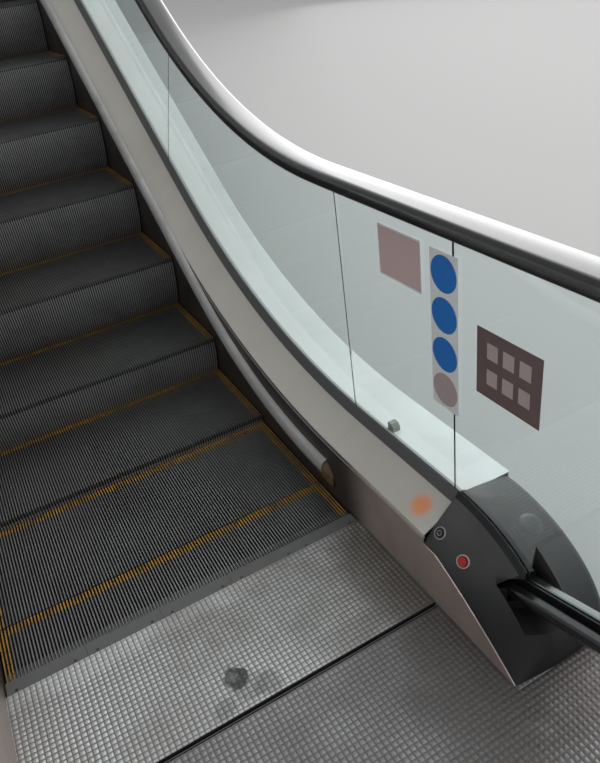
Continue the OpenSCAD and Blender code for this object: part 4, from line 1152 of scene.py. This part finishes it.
DISC_Y, DISC_R = -0.338, 0.041
blue_discs = [disc(DISC_Y, z, DISC_R) for z in (0.836, 0.742, 0.647)]
squares = [card(y - 0.030, y, z, z + 0.036, PRINT)
           for y in -0.470 - 0.044 * np.arange(3) for z in (0.640, 0.700)]
print("discs:", len(blue_discs) + 1, "squares:", len(squares))

# %% [markdown]
# Paper and films have faded unevenly, so each is stained by its own slightly different colour.

# %% Blank cards
# Name: colour, roughness, strength and scale of the stains, and their colour
FILMS = {"white_film": ((0.86, 0.87, 0.88), 0.35, 0.2, 20, (0.72, 0.73, 0.75)),
         "pink_paper": ((0.66, 0.48, 0.48), 0.50, 0.3, 20, (0.62, 0.52, 0.52)),
         "blue_film": ((0.030, 0.20, 0.64), 0.30, 0.2, 25, (0.035, 0.17, 0.52)),
         "brown_film": ((0.17, 0.115, 0.115), 0.30, 0.3, 20, (0.24, 0.18, 0.18)),
         "pale_film": ((0.52, 0.42, 0.42), 0.35, 0.3, 30, (0.40, 0.32, 0.32))}
films = {name: finish(name, colour, rough, stain=stain, stain_scale=scale, dirt=dirt)
         for name, (colour, rough, stain, scale, dirt) in FILMS.items()}
for label, part, look in (
        ("pink_card_sleeve", [card(-0.263, -0.105, 0.763, 0.886, 0.0003)], "white_film"),
        ("pink_card", [card(-0.260, -0.108, 0.767, 0.882)], "pink_paper"),
        ("column_card", [card(-0.383, -0.293, 0.506, 0.884)], "white_film"),
        ("blue_discs", blue_discs, "blue_film"),
        ("grey_disc", [disc(DISC_Y, 0.556, DISC_R)], "pale_film"),
        ("brown_placard", [card(-0.615, -0.440, 0.607, 0.763)], "brown_film"),
        ("placard_squares", squares, "pale_film")):
    piece(label, *placed(*join(part)), films[look], "glass", smooth=False)

# %% [markdown]
# ## Studio
# A pale floor lies at the level of the landing, with a hole for the machine and a dark pit under
# the hole, so that no light comes from below. Both are stage pieces and don't belong to the part.

# %% Floor and pit
GROUND_Z = FLOOR_Z + HOME[2] - 0.0005
HOLE_X, HOLE_Y, PIT_Z, FLOOR_REACH = SIDE_X + 0.001, (0.074, 3.86), -0.004, 40.0
xs = np.array([-FLOOR_REACH, -HOLE_X, HOLE_X, FLOOR_REACH])
ys = np.array([-FLOOR_REACH, *HOLE_Y, FLOOR_REACH])
gx, gy = np.meshgrid(xs, ys)
around_hole = np.delete(grid_faces(4, 4), 4, axis=0)
studio_grey = finish("studio_floor", (0.46, 0.46, 0.455), 0.7)
floor = piece("studio_floor", points_at(gx.ravel(), gy.ravel(), GROUND_Z), around_hole,
              studio_grey, None, smooth=False, body=None)

hole = np.array([[-HOLE_X, HOLE_Y[0]], [HOLE_X, HOLE_Y[0]], [HOLE_X, HOLE_Y[1]],
                 [-HOLE_X, HOLE_Y[1]]])
rims = np.concatenate([points_at(*hole.T, GROUND_Z), points_at(*hole.T, PIT_Z)])
walls_and_bottom = np.concatenate([grid_faces(2, 4, False, True), [[4, 5, 6, 7]]])
pit_grey = finish("pit_grey", (0.04, 0.04, 0.04), 0.9)
pit = piece("studio_pit", rims, walls_and_bottom, pit_grey, None, smooth=False, body=None)

# %% [markdown]
# The sky is bright where the camera, mirrors or glass see it, and weaker as a light. Mirrored sky
# is dimmer to the upper left, so that the lower edge of each handrail stays dark.

# %% Sky
world = bpy.data.worlds.new("studio")
bpy.context.scene.world = world
world.use_nodes = True
sky = world.node_tree
sky_light = fill(sky.nodes["Background"], {"Color": (1, 1, 1, 1), "Strength": 0.58})
rays = add_node(sky, "LightPath", {})
looked_at = math_node(sky, "MAXIMUM", math_node(sky, "MAXIMUM", rays["Is Camera Ray"],
                                                rays["Is Glossy Ray"]),
                      rays["Is Transmission Ray"])
toward = add_node(sky, "SeparateXYZ", {0: add_node(sky, "TexCoord", {})["Generated"]})
upper_left = math_node(sky, "MULTIPLY", ramp(sky, toward[0], 0.12, -0.10, to=0.72),
                       ramp(sky, toward[2], 0.0, 0.2))
dim = math_node(sky, "MULTIPLY", upper_left, rays["Is Glossy Ray"])
seen = add_node(sky, "Background", {"Color": (0.93, 0.94, 0.95, 1),
                                    "Strength": math_node(sky, "SUBTRACT", 1.0, dim)})
blend = add_node(sky, "MixShader", {0: looked_at, 1: sky_light[0], 2: seen[0]})
fill(sky.nodes["World Output"], {"Surface": blend[0]})
print("sky ready")

# %% [markdown]
# Halls light such machines from the ceiling and from tall windows, so there are two broad lamps.
# The ceiling gives the soft light on treads and decks but no highlight. The window is seen only in
# reflections, and it is what the black handrails mirror as a long white band.

# %% Lamps
LANDING = Vector((0.62, 0.5, 1.0)) + Vector(HOME)


def broad_lamp(name, toward, side, radiance, away=14.0):
    """A square area lamp that looks at the lower landing from the direction toward."""
    data = bpy.data.lights.new(name, "AREA")
    data.shape = "SQUARE"
    data.size = side
    data.energy = math.pi * side ** 2 * radiance
    made = bpy.data.objects.new(name, data)
    bpy.context.scene.collection.objects.link(made)
    toward = Vector(toward).normalized()
    made.location = LANDING + away * toward
    made.rotation_euler = (-toward).to_track_quat("-Z", "Y").to_euler()
    return made


ceiling = broad_lamp("lit_ceiling", (0.25, -0.25, 0.92), side=17.0, radiance=1.62)
ceiling.visible_glossy = False
window = broad_lamp("window_band", (0.72, 0.55, 0.42), side=14.0, radiance=1.9)
window.visible_diffuse = False
window.visible_transmission = False
bpy.context.scene.view_settings.view_transform = "Standard"
print("studio ready,", ceiling.name, "and", window.name)
